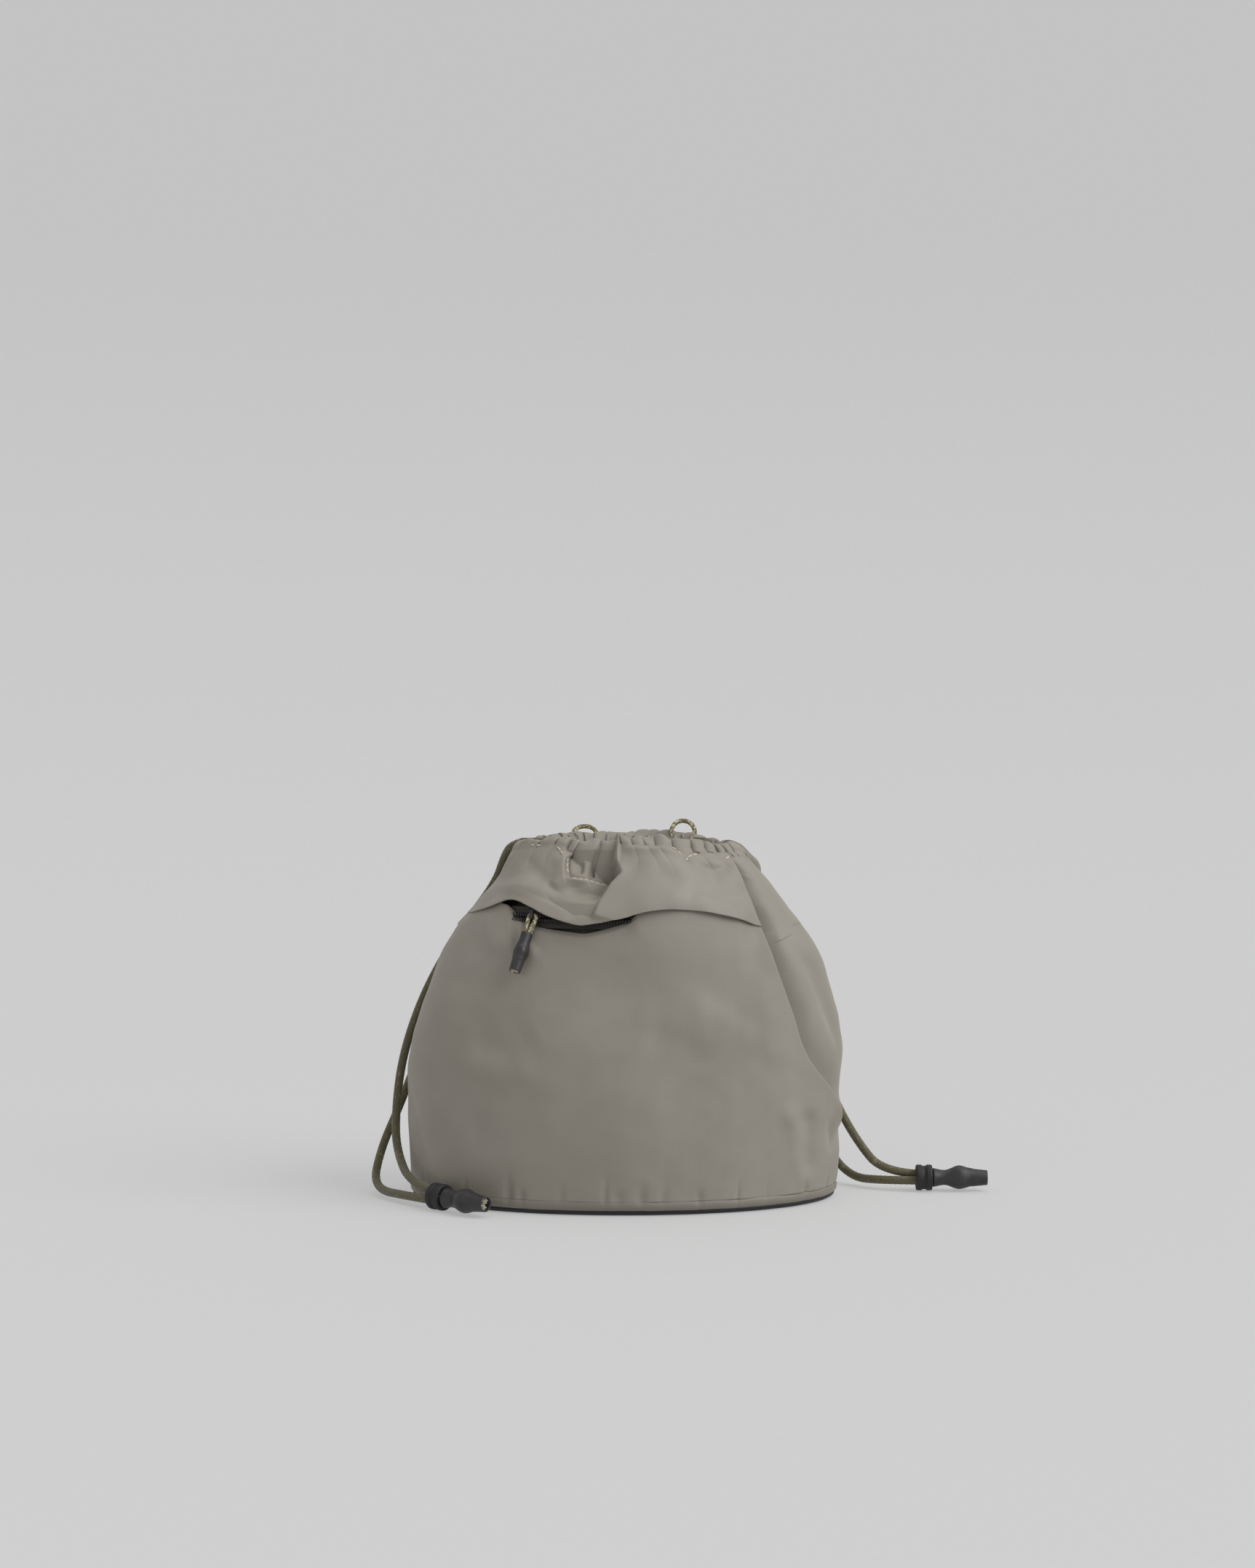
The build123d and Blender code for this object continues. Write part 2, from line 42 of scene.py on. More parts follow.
def softLine(points):
    # a smooth curve through (x, value) points
    xs, ys = np.array(points, float).T
    slope = np.gradient(ys, xs)

    def at(x):
        x = np.clip(np.asarray(x, float), xs[0], xs[-1])
        i = np.clip(np.searchsorted(xs, x) - 1, 0, len(xs) - 2)
        gap = xs[i + 1] - xs[i]
        t = (x - xs[i]) / gap
        start = (1 + 2 * t) * (1 - t) ** 2 * ys[i] + t * (1 - t) ** 2 * gap * slope[i]
        return start + t * t * (3 - 2 * t) * ys[i + 1] + t * t * (t - 1) * gap * slope[i + 1]

    return at


def easeUp(low, high, x):
    t = np.clip((x - low) / (high - low), 0, 1)
    return t * t * (3 - 2 * t)


def hump(x, width):
    return np.exp(-(x / width) ** 2)


def softNoise(seed, waves, size):
    # a few seeded sine waves in two directions, for fabric that is never quite even
    rng = np.random.default_rng(seed)
    angle = rng.uniform(0, math.pi, waves)
    length = size * rng.uniform(0.6, 1.6, waves)
    phase = rng.uniform(0, 2 * math.pi, waves)

    def at(x, y):
        total = 0
        for a, l, p in zip(angle, length, phase):
            total = total + np.sin(2 * math.pi * (x * math.cos(a) + y * math.sin(a)) / l + p)
        return total / math.sqrt(waves)

    return at


def pathOffset(x, z, path):
    # distance to a path, its sign (+ on the right of the way it runs), and how far along
    best = np.full(np.shape(x), 1e9)
    signed = np.zeros(np.shape(x))
    along = np.zeros(np.shape(x))
    done, total = 0.0, sum(math.dist(p, q) for p, q in zip(path, path[1:]))
    for (ax, az), (bx, bz) in zip(path, path[1:]):
        run = math.dist((ax, az), (bx, bz))
        ux, uz = (bx - ax) / run, (bz - az) / run
        t = np.clip((x - ax) * ux + (z - az) * uz, 0, run)
        dx, dz = x - ax - t * ux, z - az - t * uz
        far = np.hypot(dx, dz)
        near = far < best
        side = np.sign(dx * uz - dz * ux)
        signed = np.where(near, far * side, signed)
        along = np.where(near, (done + t) / total, along)
        best = np.minimum(best, far)
        done += run
    return signed, along


def ridge(x, z, path, height, left, right, fade=0.25):
    # a rounded ridge or valley along a path, with its own width on each side
    signed, along = pathOffset(x, z, path)
    width = np.where(signed < 0, left, right)
    ends = easeUp(0, fade, along) * easeUp(0, fade, 1 - along) if fade else 1
    return height * np.exp(-(signed / width) ** 2) * ends


def step(x, z, path, height, sharp, reach, fade=0.25):
    # fabric that is high on the right of a path and low on its left, and evens out
    signed, along = pathOffset(x, z, path)
    ends = easeUp(0, fade, along) * easeUp(0, fade, 1 - along) if fade else 1
    return height * np.tanh(signed / sharp) * np.exp(-np.abs(signed) / reach) * ends


def makeMesh(name, points, faces, material, uv=None, smooth=True):
    mesh = bpy.data.meshes.new(name)
    mesh.from_pydata([tuple(p) for p in np.asarray(points) * mm], [], faces)
    if uv is not None:
        layer = mesh.uv_layers.new(name="cloth")
        loops = np.empty(len(mesh.loops), np.int32)
        mesh.loops.foreach_get("vertex_index", loops)
        layer.data.foreach_set("uv", (np.asarray(uv)[loops] * mm).astype(np.float32).ravel())
    mesh.polygons.foreach_set("use_smooth", [smooth] * len(mesh.polygons))
    mesh.materials.append(material)
    mesh.validate()
    piece = bpy.data.objects.new(name, mesh)
    bpy.context.scene.collection.objects.link(piece)
    return piece


def gridFaces(rows, columns, wrap=False):
    faces = []
    for r in range(rows - 1):
        for c in range(columns if wrap else columns - 1):
            a, b = r * columns + c, r * columns + (c + 1) % columns
            faces.append((a, b, b + columns, a + columns))
    return faces


def makeGrid(name, points, material, thickness=0, wrap=False, grain=None):
    rows, columns = points.shape[:2]
    if grain is None:
        across = np.linalg.norm(np.diff(points, axis=1), axis=2)
        up = np.linalg.norm(np.diff(points, axis=0), axis=2)
        u = np.concatenate([np.zeros((rows, 1)), np.cumsum(across, axis=1)], axis=1)
        u = u - u.mean(axis=1, keepdims=True)
        v = np.concatenate([np.zeros((1, columns)), np.cumsum(up, axis=0)], axis=0)
        grain = np.dstack([u, v.mean(axis=1, keepdims=True) + np.zeros_like(u)])
    piece = makeMesh(
        name, points.reshape(-1, 3), gridFaces(rows, columns, wrap), material,
        grain.reshape(-1, 2),
    )
    if thickness:
        solid = piece.modifiers.new("thickness", "SOLIDIFY")
        solid.thickness = thickness * mm
        solid.offset = -1
    return piece


def frames(points):
    # tangents and steady side directions along a line of points
    points = np.asarray(points, float)
    tangent = np.gradient(points, axis=0)
    tangent /= np.linalg.norm(tangent, axis=1, keepdims=True)
    side = np.cross(tangent[0], (0.13, 0.31, 0.94))
    sides = []
    for t in tangent:
        side = side - t * np.dot(side, t)
        side /= np.linalg.norm(side)
        sides.append(side.copy())
    sides = np.array(sides)
    return tangent, sides, np.cross(tangent, sides)


def resample(points, gap):
    points = np.asarray(points, float)
    run = np.concatenate([[0], np.cumsum(np.linalg.norm(np.diff(points, axis=0), axis=1))])
    at = np.linspace(0, run[-1], max(3, int(run[-1] / gap)))
    return np.stack([np.interp(at, run, points[:, k]) for k in range(3)], axis=1), at


def makeBraid(name, points, diameter, material, look, capped=True):
    # a round braid: two families of bundles that pass over and under each other
    line, run = resample(points, look["gap"])
    _, side, other = frames(line)
    around = look["around"]
    turn = np.linspace(0, 2 * math.pi, around, endpoint=False)
    s, t = np.meshgrid(run, turn, indexing="ij")
    a = look["bundles"] * t + 2 * math.pi * s / look["pitch"]
    b = look["bundles"] * t - 2 * math.pi * s / look["pitch"]
    over = np.sin(a) * np.sin(b)
    radius = diameter / 2 - look["relief"] * (1 - np.abs(over) ** 0.6)
    ring = side[:, None] * np.cos(t)[..., None] + other[:, None] * np.sin(t)[..., None]
    body = line[:, None] + ring * radius[..., None]
    rows = len(line)
    faces = gridFaces(rows, around, wrap=True)
    if capped:
        faces.append(tuple(range(around))[::-1])
        faces.append(tuple((rows - 1) * around + k for k in range(around)))
    piece = makeMesh(name, body.reshape(-1, 3), faces, material)
    flecks = np.random.default_rng(look["seed"])
    cell = np.floor(a / math.pi) * 31 + np.floor(b / math.pi) * 17
    chance = flecks.uniform(0, 1, 997)[(np.abs(cell).astype(int) * 7) % 997]
    # painted shade: the colour darkens where a bundle dips under its neighbours
    shade = np.clip(0.5 + 0.5 * np.abs(over) ** 0.5, 0, 1)
    layer = piece.data.color_attributes.new("braid", "FLOAT_COLOR", "POINT")
    values = np.stack([shade, chance, (over > 0) * 1.0, np.ones_like(shade)], axis=-1)
    layer.data.foreach_set("color", values.reshape(-1).astype(np.float32))
    return piece


def makeTurned(name, place, along, outline, material, around=40, squeeze=None):
    # a round sleeve or ring: its outline turned about an axis, softly squeezed if asked
    along = np.array(along, float) / np.linalg.norm(along)
    side = np.cross((0, 0, 1.0), along)
    if np.linalg.norm(side) < 0.1:
        side = np.cross((0, 1.0, 0), along)
    side /= np.linalg.norm(side)
    up = np.cross(along, side)
    turn = np.linspace(0, 2 * math.pi, around, endpoint=False)
    rows = []
    for x, r in outline:
        radius = np.full(around, float(r))
        if squeeze:
            radius = radius * squeeze(x, turn)
        rows.append(
            np.array(place) + along * x
            + side * (np.cos(turn) * radius)[:, None] + up * (np.sin(turn) * radius)[:, None]
        )
    return makeMesh(name, np.concatenate(rows), gridFaces(len(rows), around, wrap=True), material)


def hexColour(text):
    # sRGB hex to linear
    parts = [int(text[i:i + 2], 16) / 255 for i in (1, 3, 5)]
    line = [p / 12.92 if p <= 0.04045 else ((p + 0.055) / 1.055) ** 2.4 for p in parts]
    return (*line, 1)


def addNode(tree, kind, settings, links):
    # settings: node properties or sockets by name; links: own input from (node, output)
    node = tree.nodes.new(kind)
    for key, value in settings.items():
        if key in node.inputs:
            node.inputs[key].default_value = value
        else:
            setattr(node, key, value)
    for key, (source, output) in links.items():
        tree.links.new(source.outputs[output], node.inputs[key])
    return node


def newMaterial(name):
    material = bpy.data.materials.new(name)
    material.use_nodes = True
    tree = material.node_tree
    tree.nodes.clear()
    return material, tree


def finishMaterial(tree, shader):
    addNode(tree, "ShaderNodeOutputMaterial", {}, {"Surface": (shader, "BSDF")})


def twoColours(tree, low, high, source, output, start=0.3, end=0.7):
    ramp = addNode(tree, "ShaderNodeValToRGB", {}, {"Fac": (source, output)})
    ramp.color_ramp.elements[0].position = start
    ramp.color_ramp.elements[0].color = hexColour(low)
    ramp.color_ramp.elements[1].position = end
    ramp.color_ramp.elements[1].color = hexColour(high)
    return ramp


nylonLook = {
    "low": "#888378",
    "high": "#928d83",
    "thread": 0.45,  # mm between threads
    "bump": 0.22,
    "roughness": 0.56,
    "sheen": 0.22,
}


def wovenNylon(name, look):
    # Plain-woven nylon taffeta, dyed and calendered: a tight even grain and a soft satin
    # bloom on the folds. The real threads are 0.25 mm apart, too fine to show, so they are
    # drawn nearly twice as coarse.
    material, tree = newMaterial(name)
    uv = addNode(tree, "ShaderNodeTexCoord", {}, {})
    place = addNode(tree, "ShaderNodeTexCoord", {}, {})
    blotch = addNode(
        tree, "ShaderNodeTexNoise", {"Scale": 18.0, "Detail": 3.0, "Roughness": 0.55},
        {"Vector": (place, "Object")},
    )
    colour = twoColours(tree, look["low"], look["high"], blotch, "Fac")
    pitch = 1 / (look["thread"] * mm)
    weave = []
    for direction in ("X", "Y"):
        weave.append(addNode(
            tree, "ShaderNodeTexWave",
            {"wave_type": "BANDS", "bands_direction": direction, "Scale": pitch / 20,
             "Distortion": 0.6, "Detail": 1.0, "Detail Scale": 2.0},
            {"Vector": (uv, "UV")},
        ))
    cross = addNode(
        tree, "ShaderNodeMath", {"operation": "MULTIPLY"},
        {0: (weave[0], "Fac"), 1: (weave[1], "Fac")},
    )
    slub = addNode(
        tree, "ShaderNodeTexNoise", {"Scale": 1100.0, "Detail": 2.0}, {"Vector": (uv, "UV")},
    )
    grain = addNode(
        tree, "ShaderNodeMath", {"operation": "ADD"}, {0: (cross, "Value"), 1: (slub, "Fac")},
    )
    crease = addNode(
        tree, "ShaderNodeTexNoise", {"Scale": 55.0, "Detail": 4.0, "Roughness": 0.5},
        {"Vector": (place, "Object")},
    )
    soft = addNode(
        tree, "ShaderNodeBump", {"Strength": 0.16, "Distance": 1.2 * mm},
        {"Height": (crease, "Fac")},
    )
    bump = addNode(
        tree, "ShaderNodeBump", {"Strength": look["bump"], "Distance": 0.10 * mm},
        {"Height": (grain, "Value"), "Normal": (soft, "Normal")},
    )
    shader = addNode(
        tree, "ShaderNodeBsdfPrincipled",
        {"Roughness": look["roughness"], "IOR": 1.53, "Specular IOR Level": 0.42,
         "Sheen Weight": look["sheen"], "Sheen Roughness": 0.45,
         "Sheen Tint": hexColour("#cfc9bd")},
        {"Base Color": (colour, "Color"), "Normal": (bump, "Normal")},
    )
    finishMaterial(tree, shader)
    return material


def plainFinish(name, low, high, roughness, scale, bump, settings):
    # two close colours broken up by noise, with a fine surface from the same noise
    material, tree = newMaterial(name)
    place = addNode(tree, "ShaderNodeTexCoord", {}, {})
    noise = addNode(
        tree, "ShaderNodeTexNoise", {"Scale": scale, "Detail": 4.0}, {"Vector": (place, "Object")},
    )
    colour = twoColours(tree, low, high, noise, "Fac")
    rise = addNode(
        tree, "ShaderNodeBump", {"Strength": bump, "Distance": 0.2 * mm},
        {"Height": (noise, "Fac")},
    )
    shader = addNode(
        tree, "ShaderNodeBsdfPrincipled", {"Roughness": roughness, **settings},
        {"Base Color": (colour, "Color"), "Normal": (rise, "Normal")},
    )
    finishMaterial(tree, shader)
    return material


def braidedCord(name, base, light, gapShade, fleckFrom):
    # Braided polyester: round bundles with painted shade darkening the gaps between them,
    # and lighter flecks where a paler yarn comes to the top.
    material, tree = newMaterial(name)
    braid = addNode(tree, "ShaderNodeVertexColor", {"layer_name": "braid"}, {})
    parts = addNode(tree, "ShaderNodeSeparateColor", {}, {"Color": (braid, "Color")})
    place = addNode(tree, "ShaderNodeTexCoord", {}, {})
    fibre = addNode(
        tree, "ShaderNodeTexNoise", {"Scale": 1500.0, "Detail": 2.0},
        {"Vector": (place, "Object")},
    )
    # painted shade: the gaps between bundles take the darker colour
    gapShadeColour = twoColours(tree, gapShade, base, parts, "Red", 0.55, 0.8)
    fleck = twoColours(tree, "#000000", "#ffffff", parts, "Green", fleckFrom, fleckFrom + 0.02)
    mixed = addNode(
        tree, "ShaderNodeMix", {"data_type": "RGBA"}, {"Factor": (fleck, "Color")},
    )
    tree.links.new(gapShadeColour.outputs["Color"], mixed.inputs[6])
    mixed.inputs[7].default_value = hexColour(light)
    bump = addNode(
        tree, "ShaderNodeBump", {"Strength": 0.35, "Distance": 0.15 * mm},
        {"Height": (fibre, "Fac")},
    )
    shader = addNode(
        tree, "ShaderNodeBsdfPrincipled",
        {"Roughness": 0.8, "IOR": 1.55, "Sheen Weight": 0.25, "Sheen Roughness": 0.5,
         "Specular IOR Level": 0.3},
        {"Normal": (bump, "Normal")},
    )
    tree.links.new(mixed.outputs[2], shader.inputs["Base Color"])
    finishMaterial(tree, shader)
    return material


shellNylon = wovenNylon("shellNylon", nylonLook)
bandNylon = wovenNylon("bandNylon", {**nylonLook, "low": "#77726a", "high": "#817c72"})
# PU-coated nylon: black, a little oily in its shine
coatedNylon = plainFinish("coatedBlackNylon", "#0a090a", "#131213", 0.5, 900.0, 0.25, {"IOR": 1.5})
# woven polyester lining: thin, dull and a shade darker than the shell
liningCloth = plainFinish("polyesterLining", "#5b574f", "#66625a", 0.75, 700.0, 0.2, {"IOR": 1.53})
# polyester zip tape: dense twill, dull; its colour is made darker as painted shade, for the shadowed gap
# under the hem
tapeClothPaintedShade = plainFinish("polyesterTapePaintedShade", "#2f2d28", "#37352f", 0.7, 1400.0, 0.3, {"IOR": 1.53})
# drawn nylon monofilament: smooth and slightly glossy; its colour is made darker as painted shade, for the
# shadowed gap under the hem
coilNylonPaintedShade = plainFinish("coilNylonPaintedShade", "#262521", "#2e2c28", 0.35, 300.0, 0.05, {"IOR": 1.53})
# die-cast zinc with black stoving paint, worn a little at its edges
paintedZinc = plainFinish(
    "blackPaintedZinc", "#131214", "#201f20", 0.38, 600.0, 0.1, {"Metallic": 0.0, "IOR": 1.5}
)
# heat-shrunk polyolefin tube: matte black, softly wrinkled where it shrank
shrunkTube = plainFinish(
    "shrunkTube", "#232122", "#343132", 0.46, 260.0, 0.55, {"IOR": 1.5, "Specular IOR Level": 0.55}
)
# moulded rubber: dull black with a fine mould grain
mouldedRubber = plainFinish("mouldedRubber", "#171517", "#242123", 0.62, 1200.0, 0.3, {"IOR": 1.52})
# cut braid ends: cream core yarn in a frayed bundle
coreYarn = plainFinish("coreYarn", "#a29a86", "#d9d2c1", 0.9, 1400.0, 0.9, {"IOR": 1.55})
# spun polyester sewing thread: pale, matte
sewingThread = plainFinish("creamThread", "#c0b8a2", "#ddd6c3", 0.8, 2500.0, 0.4, {"IOR": 1.55})
# polyethylene board: waxy and pale
boardPlastic = plainFinish("polyethyleneBoard", "#b9b7af", "#c6c4bc", 0.45, 90.0, 0.1, {"IOR": 1.51})
# the third colour of each braid is the painted shade in the gaps between bundles
drawcordBraid = braidedCord("drawcordBraid", "#656049", "#77715a", "#302d20", 0.86)
fleckedBraid = braidedCord("fleckedBraid", "#827c5a", "#d2ccb0", "#35311f", 0.66)
print("materials made")


cameraPlace = {
    "aimHeight": 0.090,
    "elevation": 7.3,
    "distance": 1.9,
    "pitch": 2.872,  # the bag stands low in the picture
    "sideways": 0.0023,
    "lens": 75.5,
}


def makeCamera(place):
    data = bpy.data.cameras.new("camera")
    data.lens = place["lens"]
    data.sensor_width = 36
    camera = bpy.data.objects.new("camera", data)
    rise = math.radians(place["elevation"])
    camera.location = (
        place["sideways"],
        -place["distance"] * math.cos(rise),
        place["aimHeight"] + place["distance"] * math.sin(rise),
    )
    camera.rotation_euler = (math.radians(90 - place["pitch"]), 0, 0)
    data.clip_start, data.clip_end = 0.01, 30
    bpy.context.scene.collection.objects.link(camera)
    bpy.context.scene.camera = camera


makeCamera(cameraPlace)
print("camera made")


cordThickness = 5.0
strandRoutes = {
    "drawcord_right_front": [
        (0.05842, 0.0031, 0.1971), (0.06542, 0.0042, 0.1966), (0.072, 0.012, 0.1905),
        (0.0805, 0.0235, 0.1765), (0.0935, 0.031, 0.155), (0.1025, 0.037, 0.130),
        (0.1075, 0.0415, 0.103), (0.1125, 0.0425, 0.076), (0.1235, 0.0385, 0.050),
        (0.136, 0.029, 0.027), (0.15134, 0.01258, 0.00921), (0.17934, 0.01209, 0.00921),
    ],
    "drawcord_right_back": [
        (0.05842, 0.0089, 0.1971), (0.06442, 0.0102, 0.1966), (0.0695, 0.0205, 0.1905),
        (0.0755, 0.0325, 0.1755), (0.0835, 0.042, 0.1535), (0.0885, 0.049, 0.128),
        (0.0925, 0.0535, 0.1015), (0.097, 0.055, 0.075), (0.1055, 0.0525, 0.049),
        (0.117, 0.0455, 0.0245), (0.132, 0.034, 0.004), (0.15127, 0.0084, 0.00629),
        (0.17926, 0.00791, 0.00629),
    ],
    "drawcord_left_front": [
        (-0.05842, 0.0031, 0.2029), (-0.06442, 0.005, 0.2018), (-0.069, 0.0145, 0.194),
        (-0.0745, 0.0265, 0.178), (-0.0915, 0.0305, 0.155), (-0.1085, 0.0255, 0.129),
        (-0.1205, 0.0185, 0.103), (-0.1285, 0.0115, 0.076), (-0.1315, 0.005, 0.050),
        (-0.131, -0.005, 0.027), (-0.11972, -0.03762, 0.01015), (-0.09892, -0.05635, 0.01015),
    ],
    "drawcord_left_back": [
        (-0.05842, 0.0089, 0.2029), (-0.06342, 0.0115, 0.2018), (-0.067, 0.0225, 0.194),
        (-0.070, 0.034, 0.179), (-0.079, 0.0425, 0.1545), (-0.0935, 0.042, 0.127),
        (-0.109, 0.0355, 0.101), (-0.1205, 0.0285, 0.0745), (-0.1305, 0.0215, 0.048),
        (-0.141, 0.013, 0.024), (-0.1445, -0.004, 0.0036), (-0.12089, -0.03891, 0.00535),
        (-0.10008, -0.05765, 0.00535),
    ],
}
cordBraidLook = {"gap": 0.5, "around": 28, "bundles": 5, "pitch": 6.4, "relief": 0.34, "seed": 4}


def splinePoints(route, name):
    # the smooth line that a limp cord takes, with the route as its control points
    curve = bpy.data.curves.new(name + "Line", "CURVE")
    curve.dimensions = "3D"
    curve.resolution_u = 24
    spline = curve.splines.new("NURBS")
    spline.points.add(len(route) - 1)
    for point, place in zip(spline.points, route):
        point.co = (*place, 1)
    spline.order_u = 3
    spline.use_endpoint_u = True
    holder = bpy.data.objects.new(name + "Line", curve)
    bpy.context.scene.collection.objects.link(holder)
    bpy.context.view_layer.update()
    shape = bpy.data.meshes.new_from_object(holder)
    points = np.array([tuple(v.co) for v in shape.vertices]) / mm
    bpy.data.objects.remove(holder)
    return points


strands = {}
for name, route in strandRoutes.items():
    line = splinePoints(route, name)
    strand = makeBraid(name + "_braid", line, cordThickness, drawcordBraid, cordBraidLook)
    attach(strand, "root")
    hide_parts(name)
    strands[name] = (strand, line)
print("drawcord strands made")


sleeveLook = {
    "length": 31.5,
    "radius": 5.8,
    "swell": [(0, 0), (0.22, -1.2), (0.48, 1.2), (0.68, -0.2), (1, -1.4)],
    "wall": 0.7,
    "ends": {"right": ((179.3, 10.0, 7.75), -1.0, 35), "left": ((-99.5, -57.0, 7.75), -42.0, 70)},
}
pullLook = {
    "bridge": (-50.585, -46.866, 165.348),
    "right": (0.8981, -0.4304, -0.0905),
    "down": (-0.2875, -0.4188, -0.8614),
    "out": (-0.3328, -0.7996, 0.4998),
    "drop": 11.0,
    "cord": 2.6,
    "length": 23.5,
    "radius": 3.35,
    "yarnApart": 1.15,
    "yarnDrop": 21.3,
    "swell": [(0, 0), (0.28, 0.1), (0.5, 1.1), (0.68, 0.5), (1, 0)],
    "wall": 0.6,
}


def shrunkSleeve(name, start, along, look, seed):
    # shrunk over two cords and their knot: creased where the swell begins and flat-sided
    rng = np.random.default_rng(seed)
    lean = rng.uniform(0, 2 * math.pi, 4)
    swell = softLine([(s * look["length"], look["radius"] + r) for s, r in look["swell"]])

    def squeeze(x, turn):
        share = x / look["length"]
        flat = 0.045 * (1 - easeUp(0.2, 0.5, share)) * np.cos(2 * (turn - lean[0]))
        lump = 0.055 * hump(share - 0.5, 0.2) * np.sin(3 * turn + lean[1])
        crease = 0.05 * hump(share - 0.33, 0.05) * np.sin(2 * turn + lean[2])
        crease = crease - 0.035 * hump(share - 0.69, 0.04) * np.cos(turn + lean[3])
        return (1 + flat + lump + crease) / 1.03

    xs = np.linspace(0, look["length"], 56)
    outline = [(x, swell(x)) for x in xs]
    lip = outline[-1][1]
    outline = [(0.6, outline[0][1] - 1.0), (0.0, outline[0][1] - 0.45), *outline[1:]]
    outline += [(look["length"] + 0.15, lip - look["wall"] / 2)]
    outline += [(look["length"] - x, lip - look["wall"]) for x in (0.1, 2.5, 5.0)]
    return makeTurned(name, start, along, outline, shrunkTube, 48, squeeze)


def frayedEnd(name, centre, along, radius, seed):
    # cut cord ends: a rounded bundle of short pale fibres
    rng = np.random.default_rng(seed)
    along = np.array(along, float) / np.linalg.norm(along)
    side = np.cross(along, (0.2, 0.1, 1.0))
    side /= np.linalg.norm(side)
    up = np.cross(along, side)
    points, faces = [], []
    for k in range(60):
        turn, out = rng.uniform(0, 2 * math.pi), radius * math.sqrt(rng.uniform())
        root = np.array(centre) + (side * math.cos(turn) + up * math.sin(turn)) * out * 0.9
        lean = along * rng.uniform(1.6, 2.9) + side * rng.normal(0, 0.35) + up * rng.normal(0, 0.35)
        base = len(points)
        for end, wide in ((0, 0.42), (0.6, 0.36), (1, 0.2)):
            for c in range(5):
                a = 2 * math.pi * c / 5
                points.append(
                    root - along * 1.5 + (lean + along * 1.5) * end
                    + (side * math.cos(a) + up * math.sin(a)) * wide
                )
        faces += [
            (base + r * 5 + c, base + r * 5 + (c + 1) % 5,
             base + r * 5 + 5 + (c + 1) % 5, base + r * 5 + 5 + c)
            for r in range(2) for c in range(5)
        ]
        faces.append(tuple(base + 10 + c for c in range(5)))
    return makeMesh(name, points, faces, coreYarn)


ringLook = {"radius": 7.45, "bore": 5.25, "length": 9.5, "groove": 2.4, "depth": 0.6, "gap": 0.3}


def makeGroovedRing(name, start, along, look):
    half, groove = look["length"] / 2, look["groove"] / 2
    outline = [(-half, look["bore"])]
    for turn in np.linspace(0, math.pi / 2, 6):
        outline.append((-half + 1 - math.cos(turn), look["radius"] - 1 + math.sin(turn)))
    outline += [
        (-groove - 0.45, look["radius"]), (-groove - 0.15, look["radius"] - 0.12),
        (-groove, look["radius"] - look["depth"]), (0, look["radius"] - look["depth"] - 0.05),
    ]
    outline += [(-x, r) for x, r in reversed(outline[:-1])]
    outline += [(half * 0.97, look["bore"] - 0.1), (-half * 0.97, look["bore"] - 0.1)]
    outline.append(outline[0])
    middle = np.array(start) - np.array(along) * (look["gap"] + half)
    return makeTurned(name, middle, along, outline, mouldedRubber, 56)


for side, (start, heading, roll) in sleeveLook["ends"].items():
    turn = math.radians(heading)
    along = np.array([math.cos(turn), math.sin(turn), 0])
    sleeve = shrunkSleeve(f"cord_end_sleeve_{side}_shrunk", start, along, sleeveLook, 11 + len(side))
    tilt = math.radians(roll)
    across = np.array([-math.sin(turn) * math.cos(tilt), math.cos(turn) * math.cos(tilt), math.sin(tilt)])
    ends = []
    for sign in (-1, 1):
        place = np.array(start) + along * (sleeveLook["length"] - 3.4) + across * 1.9 * sign
        ends.append(frayedEnd(f"cord_end_{side}_yarn{(sign + 1) // 2}", place, along, 1.7, 21 + sign))
    ring = makeGroovedRing(f"cord_ring_{side}_moulded", start, along, ringLook)
    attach(sleeve, "root")
    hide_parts(f"cord_end_sleeve_{side}", f"cord_end_knot_{side}")
    for end in ends:
        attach(end, "root")
    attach(ring, f"{side}_ring")
    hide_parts(f"cord_ring_{side}")
    for which in ("front", "back"):
        strand, line = strands[f"drawcord_{side}_{which}"]

pullFrame = np.array([pullLook[key] for key in ("right", "down", "out")], float)
pullFrame /= np.linalg.norm(pullFrame, axis=1, keepdims=True)
pullBraidLook = {"gap": 0.22, "around": 20, "bundles": 4, "pitch": 3.6, "relief": 0.2, "seed": 9}


def pullPoint(x, down, out=0.0):
    return np.array(pullLook["bridge"]) + np.array([x, down, out]) @ pullFrame


pullRoute = [
    (-1.35, 13.5, 0.0), (-1.42, 10.0, 0.0), (-1.7, 6.6, 0.1), (-2.1, 3.2, 0.1), (-2.2, 0.6, 0),
    (-1.2, -0.4, 0), (1.2, -0.4, 0), (2.3, 0.6, 0), (2.3, 3.2, 0.1), (1.8, 6.6, 0.1),
    (1.42, 10.0, 0.0), (1.35, 13.5, 0.0),
]
pullLine = splinePoints([tuple(pullPoint(*p) * mm) for p in pullRoute], "pull")
pullCord = makeBraid("pull_cord_braid", pullLine, pullLook["cord"], fleckedBraid, pullBraidLook)
pullSleeve = shrunkSleeve("pull_sleeve_shrunk", pullPoint(0, pullLook["drop"]), pullFrame[1], pullLook, 5)
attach(pullCord, "zip_pull")
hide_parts("zip_pull_cord")
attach(pullSleeve, "zip_pull")
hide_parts("zip_pull_sleeve", "zip_pull_knot")
for sign in (-1, 1):
    end = frayedEnd(
        f"pull_end_yarn{(sign + 1) // 2}",
        pullPoint(sign * pullLook["yarnApart"], pullLook["drop"] + pullLook["yarnDrop"]), pullFrame[1],
        1.0, 31 + sign,
    )
    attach(end, "zip_pull")
print("sleeves, rings and zip pull made")


